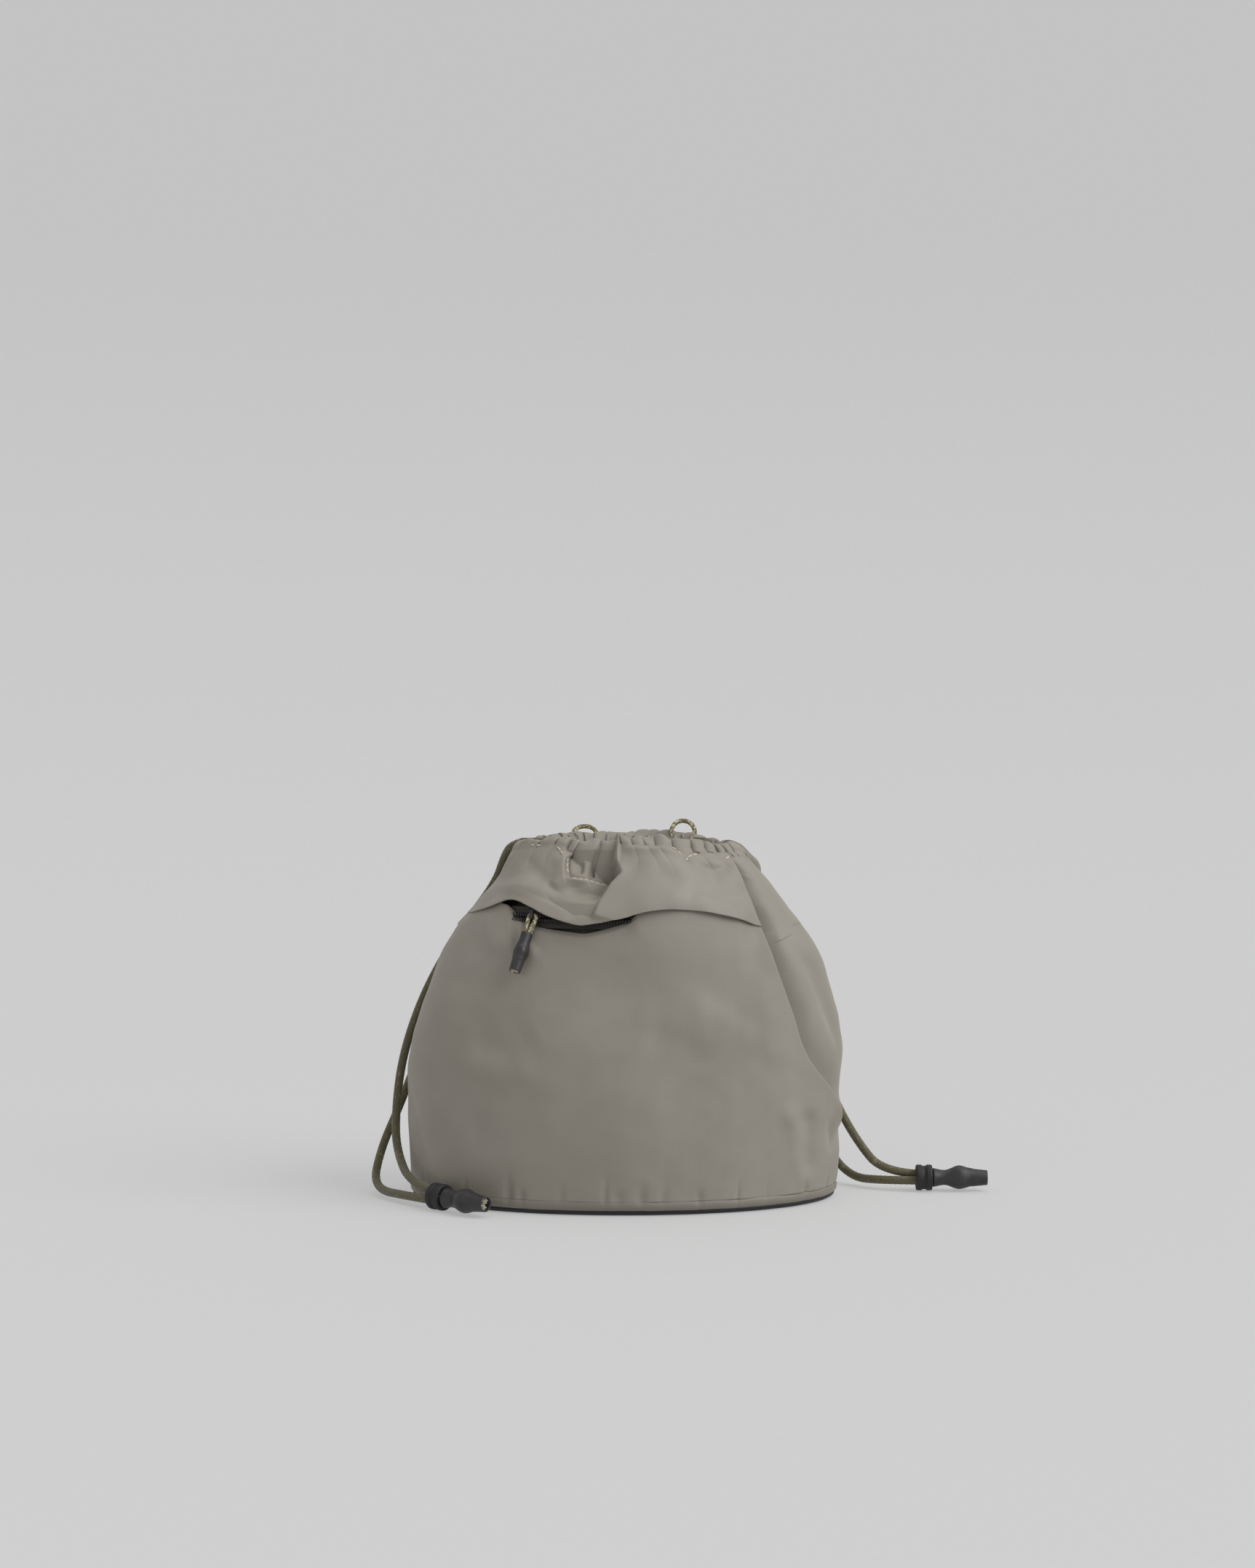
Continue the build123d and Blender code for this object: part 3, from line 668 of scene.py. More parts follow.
loopLook = {
    "left": {"at": (-22.5, 23.5), "tilt": 52, "height": 206.6, "foot": 2.0},
    "right": {"at": (34.5, 20.5), "tilt": 12, "height": 207.8, "foot": 3.0},
}
loopBraidLook = {"gap": 0.25, "around": 20, "bundles": 4, "pitch": 3.8, "relief": 0.24, "seed": 14}
for side, look in loopLook.items():
    lean = math.radians(look["tilt"])
    up = np.array([0, math.sin(lean), math.cos(lean)])
    middle = np.array([*look["at"], look["height"]])
    arc = [middle + np.array([6.6, 0, 0]) - up * look["foot"]]
    for turn in np.linspace(0, math.pi, 25):
        arc.append(middle + np.array([6.8 * math.cos(turn), 0, 0]) + up * 6.8 * math.sin(turn))
    arc.append(middle - np.array([6.6, 0, 0]) - up * look["foot"])
    loop = makeBraid(f"strap_loop_{side}_braid", arc, 2.8, fleckedBraid, loopBraidLook)
    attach(loop, "root")
    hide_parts(f"strap_loop_{side}")
print("strap loops made")


halfRight = softLine([
    (0, 121.4), (8, 122.5), (27, 124.7), (54, 126.3), (84, 124.7), (120, 118), (144, 109.5),
    (158, 101), (177, 86), (192, 72), (200, 64), (210, 55),
])
halfLeft = softLine([
    (0, 121.4), (8, 122.3), (27, 123), (54, 124.2), (84, 123), (120, 113), (144, 102.5),
    (158, 93.5), (177, 77), (192, 65.5), (204, 57), (210, 50),
])
halfDepth = softLine([
    (0, 74), (8, 74.5), (32, 75.8), (60, 75.6), (90, 72.6), (120, 67.4), (147, 61.2), (162, 56),
    (177, 50.5), (188, 44), (196, 37.7), (203, 32.5), (210, 29),
])
frontNoise = softNoise(3, 7, 62)
fineNoise = softNoise(8, 9, 21)
deg = math.pi / 180


def skin(phi, z):
    right, left, depth = halfRight(z), halfLeft(z), halfDepth(z)
    return np.stack(
        [(right - left) / 2 + (right + left) / 2 * np.sin(phi), -depth * np.cos(phi), z + 0 * phi],
        axis=-1,
    )


def skinNormal(phi, z):
    a = skin(phi + 0.01, z) - skin(phi - 0.01, z)
    b = skin(phi, z + 1.0) - skin(phi, z - 1.0)
    n = np.cross(a, b)
    return n / np.linalg.norm(n, axis=-1, keepdims=True)


# how the fabric lies: heights in mm, paths in (x, z) across the front and (turn, z) round it
sideTurn = 1.7  # mm of girth in one degree of turn
seamTurn = softLine([
    (8, 81), (58, 74.5), (82, 58), (111, 52), (137, 49), (157, 49.5), (176, 52.5), (189, 57.5),
    (204, 62),
])
foldPaths = {
    "rightSeam": [(float(seamTurn(z)), z) for z in np.linspace(200, 8, 34)],
    "leftSeam": [(-88, 190), (-87, 100), (-86, 8)],
    "swagFold": [(-5, 209), (-8, 197), (-3, 189), (-8, 184), (-15, 173), (-18, 163)],
    "dart": [(-69, 174), (-66, 166), (-62, 153), (-60, 143)],
}


def roundSide(path):
    # a path given in degrees of turn, in mm of girth
    return [(turn * sideTurn, height) for turn, height in path]


def addRidges(r, across, z, table):
    for path, *size in table:
        r = r + ridge(across, z, path, *size)
    return r


def bodyRelief(phi, z):
    # relief shared by the panels, from the base to just under the zip
    turn = phi / deg
    u = turn * sideTurn
    x, y = skin(phi, z)[..., 0], skin(phi, z)[..., 1]
    front = easeUp(-0.05, 0.25, np.cos(phi))
    calm = 1 - 0.55 * front
    r = calm * (0.8 * frontNoise(x + 1.3 * y, z + 0.4 * y) + 0.2 * fineNoise(x + 1.3 * y, z))
    seam = roundSide(foldPaths["rightSeam"])
    low = easeUp(20, 110, z)
    r = r + step(u, z, seam, 1.0, 1.1, 16, 0.06) * (0.7 + 1.9 * low)
    r = r + ridge(u, z, seam, -1.0, 13, 1.0, 0.06) * (0.9 + 5.4 * low)
    left = roundSide(foldPaths["leftSeam"])
    r = r + ridge(u, z, left, -1.6, 2.2, 3.5, 0.05)
    # the side panel's own soft ridges and hollows
    r = addRidges(r, u, z, [
        (roundSide([(78, 176), (80, 140), (90, 100), (98, 60)]), 3.0, 14, 14),
        (roundSide([(66, 150), (72, 118), (84, 84)]), -2.2, 9, 7),
    ])
    # long soft folds on the front panel
    r = r + front * (
        ridge(x, z, [(-46, 150), (-62, 126), (-84, 104)], 1.5, 9, 12)
        + ridge(x, z, [(-58, 148), (-76, 132), (-98, 118)], -1.3, 9, 10)
        + ridge(x, z, [(-88, 96), (-66, 92), (-48, 104)], -1.6, 10, 8)
        + ridge(x, z, [(-96, 84), (-72, 78), (-46, 84)], 1.0, 10, 9)
        + ridge(x, z, [(-100, 66), (-84, 50), (-70, 30)], -1.1, 9, 9)
        + ridge(x, z, [(10, 104), (34, 96), (46, 78)], -1.5, 13, 13)
        + ridge(x, z, [(30, 116), (56, 104), (70, 84)], 1.0, 12, 12)
        + ridge(x, z, [(-20, 146), (-8, 120), (-4, 90)], -0.8, 16, 16)
        + ridge(x, z, [(78, 134), (84, 108), (88, 76)], 0.9, 8, 9)
    )
    # creases low on the right, where the stiff base corner holds the fabric
    r = r + ridge(x, z, [(88, 62), (97, 46), (100, 14)], 1.8, 7, 5) * front
    r = r + ridge(x, z, [(104, 58), (105, 40), (103, 14)], -2.6, 5, 7) * front
    r = addRidges(r, u, z, [
        (roundSide([(66, 52), (72, 34), (92, 42)]), -2.0, 6, 5),
        (roundSide([(70, 60), (80, 48), (96, 52)]), 1.6, 6, 6),
        (roundSide([(-84, 64), (-72, 42), (-66, 16)]), -1.6, 6, 8),
    ])
    # the back sags in two long hollows from the yoke seam
    r = addRidges(r, u, z, [
        (roundSide([(118, 148), (124, 110), (120, 60)]), -2.4, 15, 12),
        (roundSide([(160, 150), (156, 112), (152, 66)]), -2.0, 16, 14),
        (roundSide([(-132, 150), (-140, 108), (-134, 64)]), -2.8, 14, 18),
    ])
    # tucks where the fabric is eased onto the base
    for k, (at, wide, deep) in enumerate(baseTucks):
        off = np.abs((turn - at + 180) % 360 - 180) * sideTurn
        r = r - deep * np.exp(-(off / wide) ** 2) * (1 - easeUp(9, 17 + 5 * (k % 3), z))
    return r * easeUp(3, 10, z)


tuckRng = np.random.default_rng(17)
baseTucks = [
    (at, tuckRng.uniform(1.0, 2.8), tuckRng.uniform(0.4, 1.8))
    for at in -180 + np.cumsum(tuckRng.uniform(3.5, 17, 35))
]


def wrapTurn(phi):
    return (phi + math.pi) % (2 * math.pi) - math.pi


def foldedPoint(phi, z, relief):
    return skin(phi, z) + skinNormal(phi, z) * relief[..., None]


panelTop = softLine([
    (-97, 162), (-85, 165.6), (-74, 168.8), (-68, 170.6), (-63, 167.6), (-57, 163.2),
    (-51, 160.3), (-45, 159.0), (-38, 158.0), (-30, 157.2), (-22, 156.4), (-14, 157.9),
    (-7, 159.8), (0, 162.0), (5, 164.8), (9, 167.6), (23, 170), (42, 169), (61, 164), (75, 159),
    (92, 154),
])
hemLine = softLine([
    (-95, 161), (-85, 164), (-74, 167.3), (-68, 170.5), (-52, 168), (-42, 164.2), (-30, 160.8),
    (-22, 159.2), (-14, 160.4), (0, 163), (7, 165.4), (23, 168), (42, 167), (61, 162), (75, 157),
    (90, 152),
])


def panelGrid(leftAt, rightAt, lowZ, topAt, columns, rows, relief):
    share = np.linspace(0, 1, columns)[None, :]
    rise = np.linspace(0, 1, rows)[:, None]
    z = lowZ + (topAt(0 * share) - lowZ) * rise
    for _ in range(3):
        a, b = leftAt(z), rightAt(z)
        phi = (a + (b - a) * share) * deg
        z = lowZ + (topAt(skin(phi, z)[-1:, :, 0]) - lowZ) * rise
    return foldedPoint(phi, z, relief(phi, z))


def inSeams(x):
    # fades what stands off the zip towards the two side seams
    return easeUp(-86, -68, x) * (1 - easeUp(63, 75, x))


def zipFlat(phi, z, relief):
    # the fabric keeps close to the zip's line, so that the slider and its pull run clear
    x = skin(phi, z)[..., 0]
    near = easeUp(128, 142, z) * (1 - easeUp(66, 80, np.abs(x))) * (np.cos(phi) > 0)
    return relief * (1 - near) + np.minimum(relief, 0.15) * near


def frontRelief(phi, z):
    r = zipFlat(phi, z, bodyRelief(phi, z))
    x = skin(phi, z)[..., 0]
    dart = foldPaths["dart"]
    r = addRidges(r, x, z, [
        (dart, -3.8, 2.4, 3.4, 0.3),
        ([(-75, 170), (-74, 156), (-70, 140)], 1.8, 6, 5, 0.3),
        ([(-61, 166), (-55, 152), (-46, 138)], 1.2, 3, 5, 0.3),
    ])
    edge = easeUp(-3.0, 0, z - panelTop(x)) * (1 - easeUp(0, 8, np.abs(x + 28) - 30))
    wide = 34 * (1 - easeUp(132, 160, z))
    rightLip = easeUp(0 - wide, 9 + wide, x) * easeUp(112, 160, z)
    leftLip = (1 - easeUp(-64, -58.5, x)) * easeUp(140, 160, z)
    lip = np.clip(rightLip + leftLip, 0, 1) * easeUp(0, 0.2, np.cos(phi)) * inSeams(x)
    return r - 1.3 * edge + lip * np.maximum(2.3 - r, 0)


frontPanel = makeGrid(
    "front_panel_shell",
    panelGrid(lambda z: -88 + 0 * z, seamTurn, 8.0, panelTop, 460, 240, frontRelief),
    shellNylon, 0.8,
)
backPanel = makeGrid(
    "back_panel_shell",
    panelGrid(lambda z: seamTurn(z) - 0.6, lambda z: 272.6 + 0 * z, 8.0, lambda x: 157.0 + 0 * x, 560, 190,
              lambda phi, z: bodyRelief(wrapTurn(phi), z) - 0.7),
    shellNylon, 0.8,
)
for piece, node, flat, area in (
    (frontPanel, "front_panel", (0.285, 0.163), 0.0415),
    (backPanel, "back_panel", (0.400, 0.152), 0.0545),
):
    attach(piece, "root")
    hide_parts(node)
print("panels made")


mouthLook = {
    "rim": 203.6,  # where the fabric turns over
    "lean": 0.62,
    "thick": 6.3,  # half the channel's thickness at its top
    "rise": 9.5,
    "shoulder": 5.0,  # how much lower the rim is at its two sides
    "inside": 186.0,  # where the channel's inner side ends
    "notches": [(100, 14.5, 8.0), (-100, 8.5, 8.0)],  # turn, depth, width at the cord exits
    "foldDepth": 4.6,
    "overhang": 1.5,
}
gatherRng = np.random.default_rng(29)
gatherCount = 43
gatherGap = gatherRng.uniform(0.5, 1.65, gatherCount)
gatherAt = np.concatenate([[0], np.cumsum(gatherGap)]) / gatherGap.sum() * 360 - 180
gatherSize = np.concatenate([gatherGap, gatherGap[:1]]) * gatherRng.uniform(0.75, 1.15, gatherCount + 1)
gatherSize[-1] = gatherSize[0]


def gathers(phi, z):
    # pleats of uneven width: how far out each point moves, and how far sideways
    turn = wrapTurn(phi) / deg + 2.2 * np.sin(z / 5.5 + 3 * np.sin(phi * 2))
    turn = (turn + 180) % 360 - 180
    k = np.clip(np.searchsorted(gatherAt, turn) - 1, 0, gatherCount - 1)
    q = (turn - gatherAt[k]) / (gatherAt[k + 1] - gatherAt[k])
    size = gatherSize[k] * (1 - q) + gatherSize[k + 1] * q
    wave = np.abs(np.sin(math.pi * q)) ** 0.7 - 0.66
    return size * wave, size * np.sin(2 * math.pi * q)


def notchAt(phi):
    turn = wrapTurn(phi) / deg
    drop = mouthLook["shoulder"] * easeUp(0.66, 1.0, np.abs(np.sin(phi)))
    for at, deep, wide in mouthLook["notches"]:
        off = np.abs((turn - at + 180) % 360 - 180) * 0.85
        drop = drop + deep * np.exp(-(off / wide) ** 4)
    return drop


facetEdge = softLine([
    (-6, 204), (2, 202.6), (14, 202), (25, 201.2), (30, 199), (35, 197.2), (44, 197.6), (54, 197),
    (62, 195.5),
])


def yokeRelief(phi, z):
    turn = wrapTurn(phi) / deg
    u = turn * sideTurn
    x, y = skin(phi, z)[..., 0], skin(phi, z)[..., 1]
    front = easeUp(-0.05, 0.25, np.cos(phi))
    r = 0.7 * frontNoise(x + 1.3 * y, z + 0.4 * y) + 0.22 * fineNoise(x + 1.3 * y, z)
    seam = roundSide(foldPaths["rightSeam"])
    r = r + step(u, z, seam, 3.0, 1.0, 16, 0.05) + ridge(u, z, seam, -7.4, 13, 1.0, 0.05)
    left = roundSide(foldPaths["leftSeam"])
    r = r + ridge(u, z, left, -1.4, 2.2, 3.5, 0.05)
    swag = foldPaths["swagFold"]
    f = step(x, z, swag, -3.6, 1.2, 15, 0.06) + ridge(x, z, swag, -6.0, 1.2, 9, 0.08)
    # a pocket of gathers between the two smooth facets
    recess = easeUp(-34, -30.5, x) * (1 - easeUp(-9, -4, x)) * easeUp(185.5, 188.5, z)
    f = f - 5.0 * recess
    above = easeUp(0, 3.6, z - facetEdge(x)) * easeUp(-4, 1, x) * (1 - easeUp(52, 62, x))
    f = f - 3.4 * above
    for path in ([(-13, 207), (-13, 197), (-9, 188)], [(-20, 206), (-18, 197), (-17, 189)],
                 [(-27, 205), (-25.5, 197), (-26, 190)]):
        f = f + ridge(x, z, path, -2.6, 1.1, 1.9, 0.2)
    f = f + 1.3 * hump(z - facetEdge(x) + 1.6, 2.2) * easeUp(-2, 5, x) * (1 - easeUp(34, 52, x))
    f = addRidges(f, x, z, [
        ([(-66, 200), (-58, 190), (-58, 172)], 2.2, 15, 12),
        ([(-36, 200), (-35, 190), (-38, 178)], 1.5, 8, 4),
        ([(8, 196), (20, 184), (34, 170)], 2.0, 20, 18),
        ([(-30, 186), (-27, 176), (-21, 164)], -2.6, 7, 8, 0.2),
        ([(-44, 184), (-38, 178), (-32, 175)], -1.0, 2.2, 3.4, 0.3),
        ([(-56, 196), (-48, 188), (-44, 180)], -1.0, 4, 5, 0.3),
        ([(40, 193), (50, 189.5), (62, 190.5)], -1.6, 2.0, 4.0, 0.3),
        ([(44, 186), (56, 180), (68, 170)], -1.2, 9, 9, 0.3),
    ])
    r = r + f * front
    return r


def gatherWeight(phi, z):
    # full at the rim, gone in the smooth facets and well below the channel
    x = skin(phi, z)[..., 0]
    front = easeUp(0.0, 0.35, np.cos(phi))
    facets = np.where(x < -18, 1 - easeUp(-36, -31, x), 0) * (1 - easeUp(201, 207, z))
    below = (1 - easeUp(-0.5, 2.0, z - facetEdge(x))) * easeUp(-6, 0, x)
    cover = np.clip(facets + below, 0, 1) * front
    notch = np.clip((notchAt(phi) - mouthLook["shoulder"]) / 7, 0, 1)
    return easeUp(181, 199, z) * (1 - 0.9 * cover) * (1 - 0.8 * notch)


def hemOut(phi, z, low):
    # the pocket's hem stands off the zip, most where the swag hangs free
    x = skin(phi, z)[..., 0]
    free = easeUp(-72, -60, x) * (1 - easeUp(-14, 8, x))
    out = (3.7 + 1.2 * free) * (1 - easeUp(0, 19, z - low)) * easeUp(0, 0.3, np.cos(phi))
    return out * inSeams(x) + 0.5


def yokePoints(phi, t, low, back):
    # t runs 0 to 1 up the outside, 1 to 2 over the rim and 2 to 3 down the inside
    rim = mouthLook["rim"] - notchAt(phi)
    outside = np.clip(t, 0, 1)
    first = mouthLook["lean"] * np.clip(1.2 - notchAt(phi) / 14, 0, 1)  # the wall already leans in
    over = first + np.clip(t - 1, 0, 1) * (math.pi - first)
    down = np.clip(t - 2, 0, 1)
    z = low + (rim - low) * outside
    relief = yokeRelief(phi, z)
    x = skin(phi, z)[..., 0]
    if not back:
        relief = relief + hemOut(phi, z, low)
        nearZip = (1 - easeUp(171, 180, z)) * easeUp(0, 0.3, np.cos(phi)) * inSeams(x)
        relief = relief + nearZip * np.maximum(3.0 - relief, 0)
    relief = np.maximum(relief, -3.4 - 0.85 * np.clip(203 - z, 0, 30))
    point = foldedPoint(phi, z, relief)
    level = skinNormal(phi, z) * (1, 1, 0)
    level /= np.linalg.norm(level, axis=-1, keepdims=True)
    along = np.cross((0, 0, 1.0), level)
    thick = mouthLook["thick"] * (1 - 0.25 * np.clip(notchAt(phi) / 10, 0, 1))
    inward = thick * (np.cos(first) - np.cos(over))
    lift = mouthLook["rise"] * (np.sin(over) - np.sin(first))
    gap = np.maximum(notchAt(phi) - mouthLook["shoulder"], 0)  # the notch is in the outer layer
    raised = 0.85 * gap * easeUp(1.1, 1.8, t)
    drop = down * (rim + raised - mouthLook["inside"]) - raised
    inward = inward + raised * 1.12
    out, sideways = gathers(phi, z + lift)
    weight = gatherWeight(phi, z + np.maximum(lift, 0) + 1.2 * np.clip(t - 1, 0, 1))
    amount = out * weight * mouthLook["foldDepth"]
    amount = np.maximum(amount, -4.0 - 0.85 * np.clip(203 - z, 0, 30) - np.minimum(relief, 0))
    turned = easeUp(1.25, 1.9, t)
    amount = amount * (1 - 0.62 * turned) - 1.3 * turned
    point = point + level * (amount - inward)[..., None]
    point = point + along * (sideways * weight * -mouthLook["overhang"])[..., None]
    crown = np.where(t > 1, np.sin(np.clip(t - 1, 0, 1) * math.pi), 0)
    top = crown * (out * weight * 1.8)
    wave = 0.8 * fineNoise(1.6 * point[..., 0] + point[..., 1], 1.4 * point[..., 1])
    point[..., 2] += lift - drop + top + crown * wave
    return point


def yokeGrid(leftAt, rightAt, lowAt, back, columns, upRows):
    t = np.concatenate([
        np.linspace(0, 1, upRows), 1 + np.linspace(0, 1, 26)[1:], 2 + np.linspace(0, 1, 16)[1:],
    ])[:, None] + np.zeros((1, columns))
    share = np.linspace(0, 1, columns)[None, :]
    guess = 160 + np.clip(t, 0, 1) * 43
    phi = (leftAt(guess) + (rightAt(guess) - leftAt(guess)) * share) * deg
    low = lowAt(phi)
    z = low + (mouthLook["rim"] - low) * np.clip(t, 0, 1)
    phi = (leftAt(z) + (rightAt(z) - leftAt(z)) * share) * deg
    return yokePoints(phi, t, lowAt(phi), back)


def hemHeight(phi):
    return hemLine(skin(phi, 165.0)[..., 0])


def backYokeLow(phi):
    turn = np.abs(phi / deg - 162)
    return 156.0 - 6.0 * easeUp(78, 112, turn) * (phi / deg < 162)


frontYoke = makeGrid(
    "front_yoke_shell", yokeGrid(lambda z: -87.5 + 0 * z, seamTurn, hemHeight, False, 640, 150),
    shellNylon, 0.8,
)
backYoke = makeGrid(
    "back_yoke_shell",
    yokeGrid(lambda z: seamTurn(z) - 0.4, lambda z: 273.0 + 0 * z, backYokeLow, True, 760, 120),
    shellNylon, 0.8,
)
for piece, nodes, flat, area in (
    (frontYoke, ("front_yoke", "mouth_channel_front"), (0.240, 0.092), 0.0180),
    (backYoke, ("back_yoke", "mouth_channel_back"), (0.350, 0.092), 0.0270),
):
    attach(piece, "root")
    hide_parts(*nodes)
print("yoke and gathered mouth made")


liningNoise = softNoise(41, 8, 48)


def liningPoints(columns, rows):
    phi = np.linspace(-180, 180, columns, endpoint=False)[None, :] * deg + np.zeros((rows, 1))
    z = np.linspace(188, 9.5, rows)[:, None] + np.zeros((1, columns))
    top = skin(phi, 203 + 0 * z)
    level = skinNormal(phi, z) * (1, 1, 0)
    level /= np.linalg.norm(level, axis=-1, keepdims=True)
    rimSide = top - level * 12.3
    rimSide[..., 2] = z
    wall = skin(phi, z) - level * (13.0 + 1.4 * liningNoise(phi / deg * 1.6, z))[..., None]
    mix = easeUp(152, 190, z)[..., None]
    return wall * (1 - mix) + rimSide * mix


liningWall = makeGrid("lining_wall_cloth", liningPoints(420, 110), liningCloth, 0.5, wrap=True)
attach(liningWall, "root")
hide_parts("lining")


def flatOval(name, z, halfX, halfY, sag, material, seed, thick):
    phi = np.linspace(-180, 180, 160, endpoint=False)[None, :] * deg
    share = np.linspace(1, 0.01, 40)[:, None]
    x, y = halfX * np.sin(phi) * share, -halfY * np.cos(phi) * share
    noise = softNoise(seed, 6, 70)
    height = z + sag * noise(x, y) * np.clip((1 - share) * 4, 0, 1)
    return makeGrid(name, np.stack([x, y, height], axis=-1), material, thick, wrap=True)


liningBase = flatOval("lining_base_cloth", 7.2, 115, 68, 0.35, liningCloth, 51, 0.5)
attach(liningBase, "root")
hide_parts("lining_base")
pocketSheet = makeGrid(
    "pocket_back_cloth",
    panelGrid(lambda z: -82 + 0 * z, lambda z: 38 + 0 * z, 16, lambda x: 178 + 0 * x, 240, 120,
              lambda phi, z: -7.6 + 0.5 * liningNoise(phi / deg * 1.6, z)),
    liningCloth, 0.4,
)
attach(pocketSheet, "root")
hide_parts("pocket_back", "pocket_hem", "yoke_facing")
print("lining and pocket made")


def ringRows(outline, columns, pucker):
    # outline: (height, inset, pucker share)
    phi = np.linspace(-180, 180, columns, endpoint=False)[None, :] * deg
    turn = phi / deg
    gather = 0
    for at, wide, deep in baseTucks:
        off = np.abs((turn - at + 180) % 360 - 180) * sideTurn
        gather = gather + deep * np.exp(-(off / (wide * 0.9)) ** 2)
    rows = []
    for z, inset, share in outline:
        level = skinNormal(phi, 8.0 + 0 * phi) * (1, 1, 0)
        level /= np.linalg.norm(level, axis=-1, keepdims=True)
        point = skin(phi, 8.0 + 0 * phi) - level * (inset + share * pucker * gather)[..., None]
        point[..., 2] = z + 0.25 * share * fineNoise(turn * sideTurn, z)
        rows.append(point[0])
    return np.array(rows)


baseBand = makeGrid("base_band_cloth", ringRows([
    (10.2, 2.4, 1.0), (9.0, 2.2, 1.0), (8.2, 1.5, 1.0), (7.4, 0.5, 0.8), (6.4, 0.1, 0.4),
    (5.0, 0.3, 0.3), (4.0, 1.0, 0.3), (3.3, 1.9, 0.2), (3.0, 3.0, 0),
], 900, 0.8), bandNylon, 0.7, wrap=True)
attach(baseBand, "root")
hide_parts("base_band")
basePanel = makeGrid("base_panel_coated", np.concatenate([
    ringRows([
        (3.9, 2.6, 0.1), (3.5, 1.4, 0.2), (2.8, 0.9, 0.3), (1.9, 1.0, 0.3), (1.0, 1.7, 0.2),
        (0.35, 3.0, 0.1), (0.1, 4.6, 0), (0.05, 8.0, 0), (0.05, 20.0, 0), (0.05, 45.0, 0),
    ], 700, 0.5),
    np.zeros((1, 700, 3)) + (0, 0, 0.05),
]), coatedNylon, 0, wrap=True)
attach(basePanel, "root")
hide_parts("base_panel")
print("base made")


zipLook = {"centre": 74.657, "radius": 130.0, "height": 164.0, "lean": 18.49, "half": 28.4,
           "pitch": 1.5}


def zipPlace(angle, out, rise):
    lean = math.radians(zipLook["lean"])
    r = zipLook["radius"] + out * math.cos(lean) - rise * math.sin(lean)
    z = zipLook["height"] + out * math.sin(lean) + rise * math.cos(lean)
    return np.array([r * math.sin(angle), zipLook["centre"] - r * math.cos(angle), z])


def makeCoil(name, side, look):
    arc = math.radians(look["half"])
    turns = int(2 * arc * look["radius"] / look["pitch"])
    points = []
    for k in range(turns * 14 + 1):
        a = 2 * math.pi * k / 14
        share = k / (turns * 14)
        bulge = 1.35 + 1.05 * math.cos(a)
        points.append(zipPlace(-arc + 2 * arc * share, 0.75 * math.sin(a) + 0.35, side * bulge))
    line = np.array(points)
    _, one, two = frames(line)
    ring = np.linspace(0, 2 * math.pi, 6, endpoint=False)
    body = line[:, None] + 0.34 * (
        one[:, None] * np.cos(ring)[:, None] + two[:, None] * np.sin(ring)[:, None]
    )
    return makeMesh(name, body.reshape(-1, 3), gridFaces(len(line), 6, wrap=True), coilNylonPaintedShade)


for side, name in ((-1, "lower"), (1, "upper")):
    coil = makeCoil(f"zip_coil_{name}_turns", side, zipLook)
    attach(coil, "root")
    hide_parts(f"zip_coil_{name}")
print("zip made")


def phiAt(x, z):
    right, left = halfRight(z), halfLeft(z)
    return np.arcsin(np.clip((x - (right - left) / 2) / ((right + left) / 2), -1, 1))


def makeStitches(name, place, path, material, look):
    # path: (turn, z) points; each stitch is a short piece of thread that dips at its ends
    path = np.array([place(p) for p in path])
    line, run = resample(path, look["pitch"] / 8)
    points, faces = [], []
    count = int(run[-1] / look["pitch"])
    for k in range(count):
        span = (k + np.linspace(0.1, 0.1 + look["fill"], 7)) * look["pitch"]
        middle = np.stack([np.interp(span, run, line[:, c]) for c in range(3)], axis=1)
        lift = np.sin(np.linspace(0, math.pi, 7)) ** 0.5
        outward = middle * (1, 1, 0)
        outward /= np.linalg.norm(outward, axis=1, keepdims=True)
        middle = middle + outward * (look["rise"] * lift - 0.15)[:, None]
        _, one, two = frames(middle)
        base = len(points)
        for row in range(7):
            wide = look["thread"] / 2 * (0.55 + 0.45 * lift[row])
            for c in range(7):
                a = 2 * math.pi * c / 7
                points.append(middle[row] + (one[row] * math.cos(a) + two[row] * math.sin(a)) * wide)
        faces += [
            (base + r * 7 + c, base + r * 7 + (c + 1) % 7,
             base + r * 7 + 7 + (c + 1) % 7, base + r * 7 + 7 + c)
            for r in range(6) for c in range(7)
        ]
    return makeMesh(name, points, faces, material)


def onYoke(point):
    phi, z = np.array([[point[0]]]), point[1]
    back = not -87.5 * deg <= wrapTurn(phi)[0, 0] <= seamTurn(z) * deg
    low = backYokeLow(phi) if back else hemHeight(phi)
    t = (z - low) / (mouthLook["rim"] - notchAt(phi) - low)
    return yokePoints(phi, t, low, back)[0, 0]


def alongXZ(points, gap=1.5):
    flat, _ = resample([(x, 0, z) for x, z in points], gap)
    return [(float(phiAt(x, z)), float(z)) for x, _, z in flat]


def roundTurns(start, end, height, step=2.0):
    return [(a * deg, float(height(a))) for a in np.arange(start, end, step)]


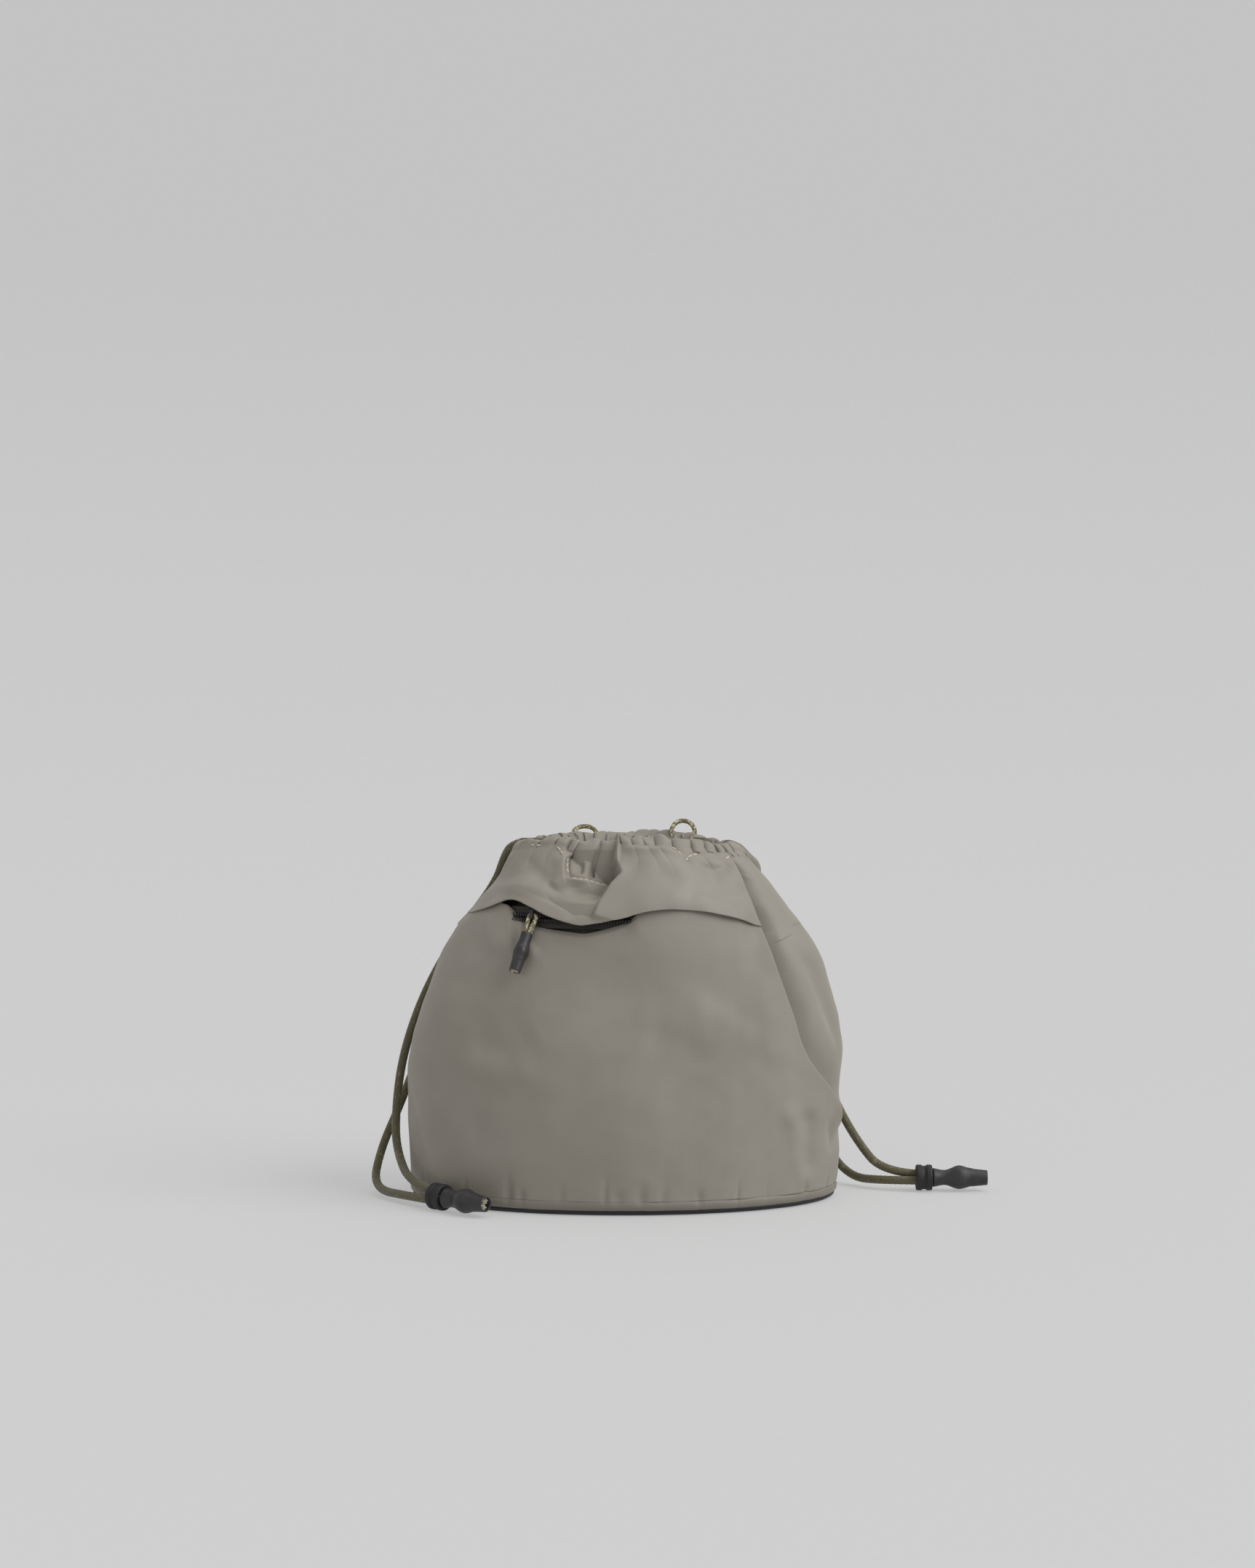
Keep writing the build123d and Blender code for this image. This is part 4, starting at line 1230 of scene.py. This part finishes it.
stitchLook = {"pitch": 3.5, "fill": 0.74, "rise": 0.6, "thread": 0.9}
channelLines = {
    "left_end": alongXZ([(-37, 202.5), (-32.5, 197), (-31.5, 191), (-30, 188.6)]),
    "left_run": alongXZ([(-29.5, 188.2), (-20, 187.4), (-10, 187)]),
    "right_end": alongXZ([(42, 200.5), (37, 196.5), (33, 193)]),
    "right_side": alongXZ([(62.5, 199), (59, 196), (55.5, 192.8)]),
    "facet_top": alongXZ([(26, 201.2), (30, 198.5), (32, 196)]),
    "back": roundTurns(116, 244, lambda a: 188.2 + 0.5 * math.sin(a / 9)),
    "left_top": alongXZ([(-50, 203), (-45, 202.4)]),
}
for name, path in channelLines.items():
    line = makeStitches(f"channel_stitch_{name}", onYoke, path, sewingThread, stitchLook)
    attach(line, "root")
print("stitching made")


def paint(node, material):
    piece = bpy.data.objects[node]
    piece.data.materials.clear()
    piece.data.materials.append(material)


# the drawcords where they run inside the channel, hidden but for their ends at the exits
innerBraid = plainFinish("innerBraid", "#4c4836", "#6a6550", 0.8, 900.0, 0.8, {"IOR": 1.55})
for node, material in (
    ("base_board", boardPlastic), ("zip_tape_lower", tapeClothPaintedShade), ("zip_tape_upper", tapeClothPaintedShade),
    ("zip_stop_left", paintedZinc), ("zip_stop_right", paintedZinc), ("zip_slider", paintedZinc),
    ("drawcord_right_inner", innerBraid), ("drawcord_left_inner", innerBraid),
):
    paint(node, material)


def paperFloor():
    # matte background paper, pale and even, one sheet swept up behind
    material, tree = newMaterial("backgroundPaper")
    place = addNode(tree, "ShaderNodeTexCoord", {}, {})
    fibre = addNode(
        tree, "ShaderNodeTexNoise", {"Scale": 240.0, "Detail": 3.0}, {"Vector": (place, "Object")},
    )
    colour = twoColours(tree, "#8b8b8b", "#8d8d8d", fibre, "Fac")
    shader = addNode(
        tree, "ShaderNodeBsdfPrincipled",
        {"Roughness": 0.92, "IOR": 1.45, "Specular IOR Level": 0.1,
         "Emission Color": hexColour("#c9c9c9"), "Emission Strength": 0.6},
        {"Base Color": (colour, "Color")},
    )
    finishMaterial(tree, shader)
    return material


profile = [(-14000, 0), (600, 0)]
for turn in np.linspace(0, math.pi / 2, 14)[1:]:
    profile.append((600 + 700 * math.sin(turn), 700 - 700 * math.cos(turn)))
profile.append((1300, 3200))
floorPoints = np.array([[(x, y, z - 0.02) for x in np.linspace(-14000, 14000, 9)] for y, z in profile])
floor = makeGrid("paper_floor", floorPoints, paperFloor())


def makeLamp(name, at, strength, spread):
    # a far, large softbox: even over the whole floor, with soft shadows
    data = bpy.data.lights.new(name, "SUN")
    data.energy = strength
    data.angle = math.radians(spread)
    lamp = bpy.data.objects.new(name, data)
    lamp.location = at
    lamp.rotation_euler = (-Vector(at)).to_track_quat("-Z", "Y").to_euler()
    bpy.context.scene.collection.objects.link(lamp)
    return lamp


lightLook = {
    "key": ((1.7, -0.8, 1.5), 1.75, 45),
    "top": ((0.4, 0.5, 1.9), 0.8, 60),
    "fill": ((-1.6, -1.6, 0.8), 0.28, 60),
}
for name, look in lightLook.items():
    makeLamp(f"{name}_softbox", *look)
world = bpy.data.worlds.new("studioAir")
bpy.context.scene.world = world
world.use_nodes = True
world.node_tree.nodes["Background"].inputs["Color"].default_value = hexColour("#cdcdcd")
world.node_tree.nodes["Background"].inputs["Strength"].default_value = 0.66
bpy.context.scene.view_settings.view_transform = "Standard"
print("floor and light made")
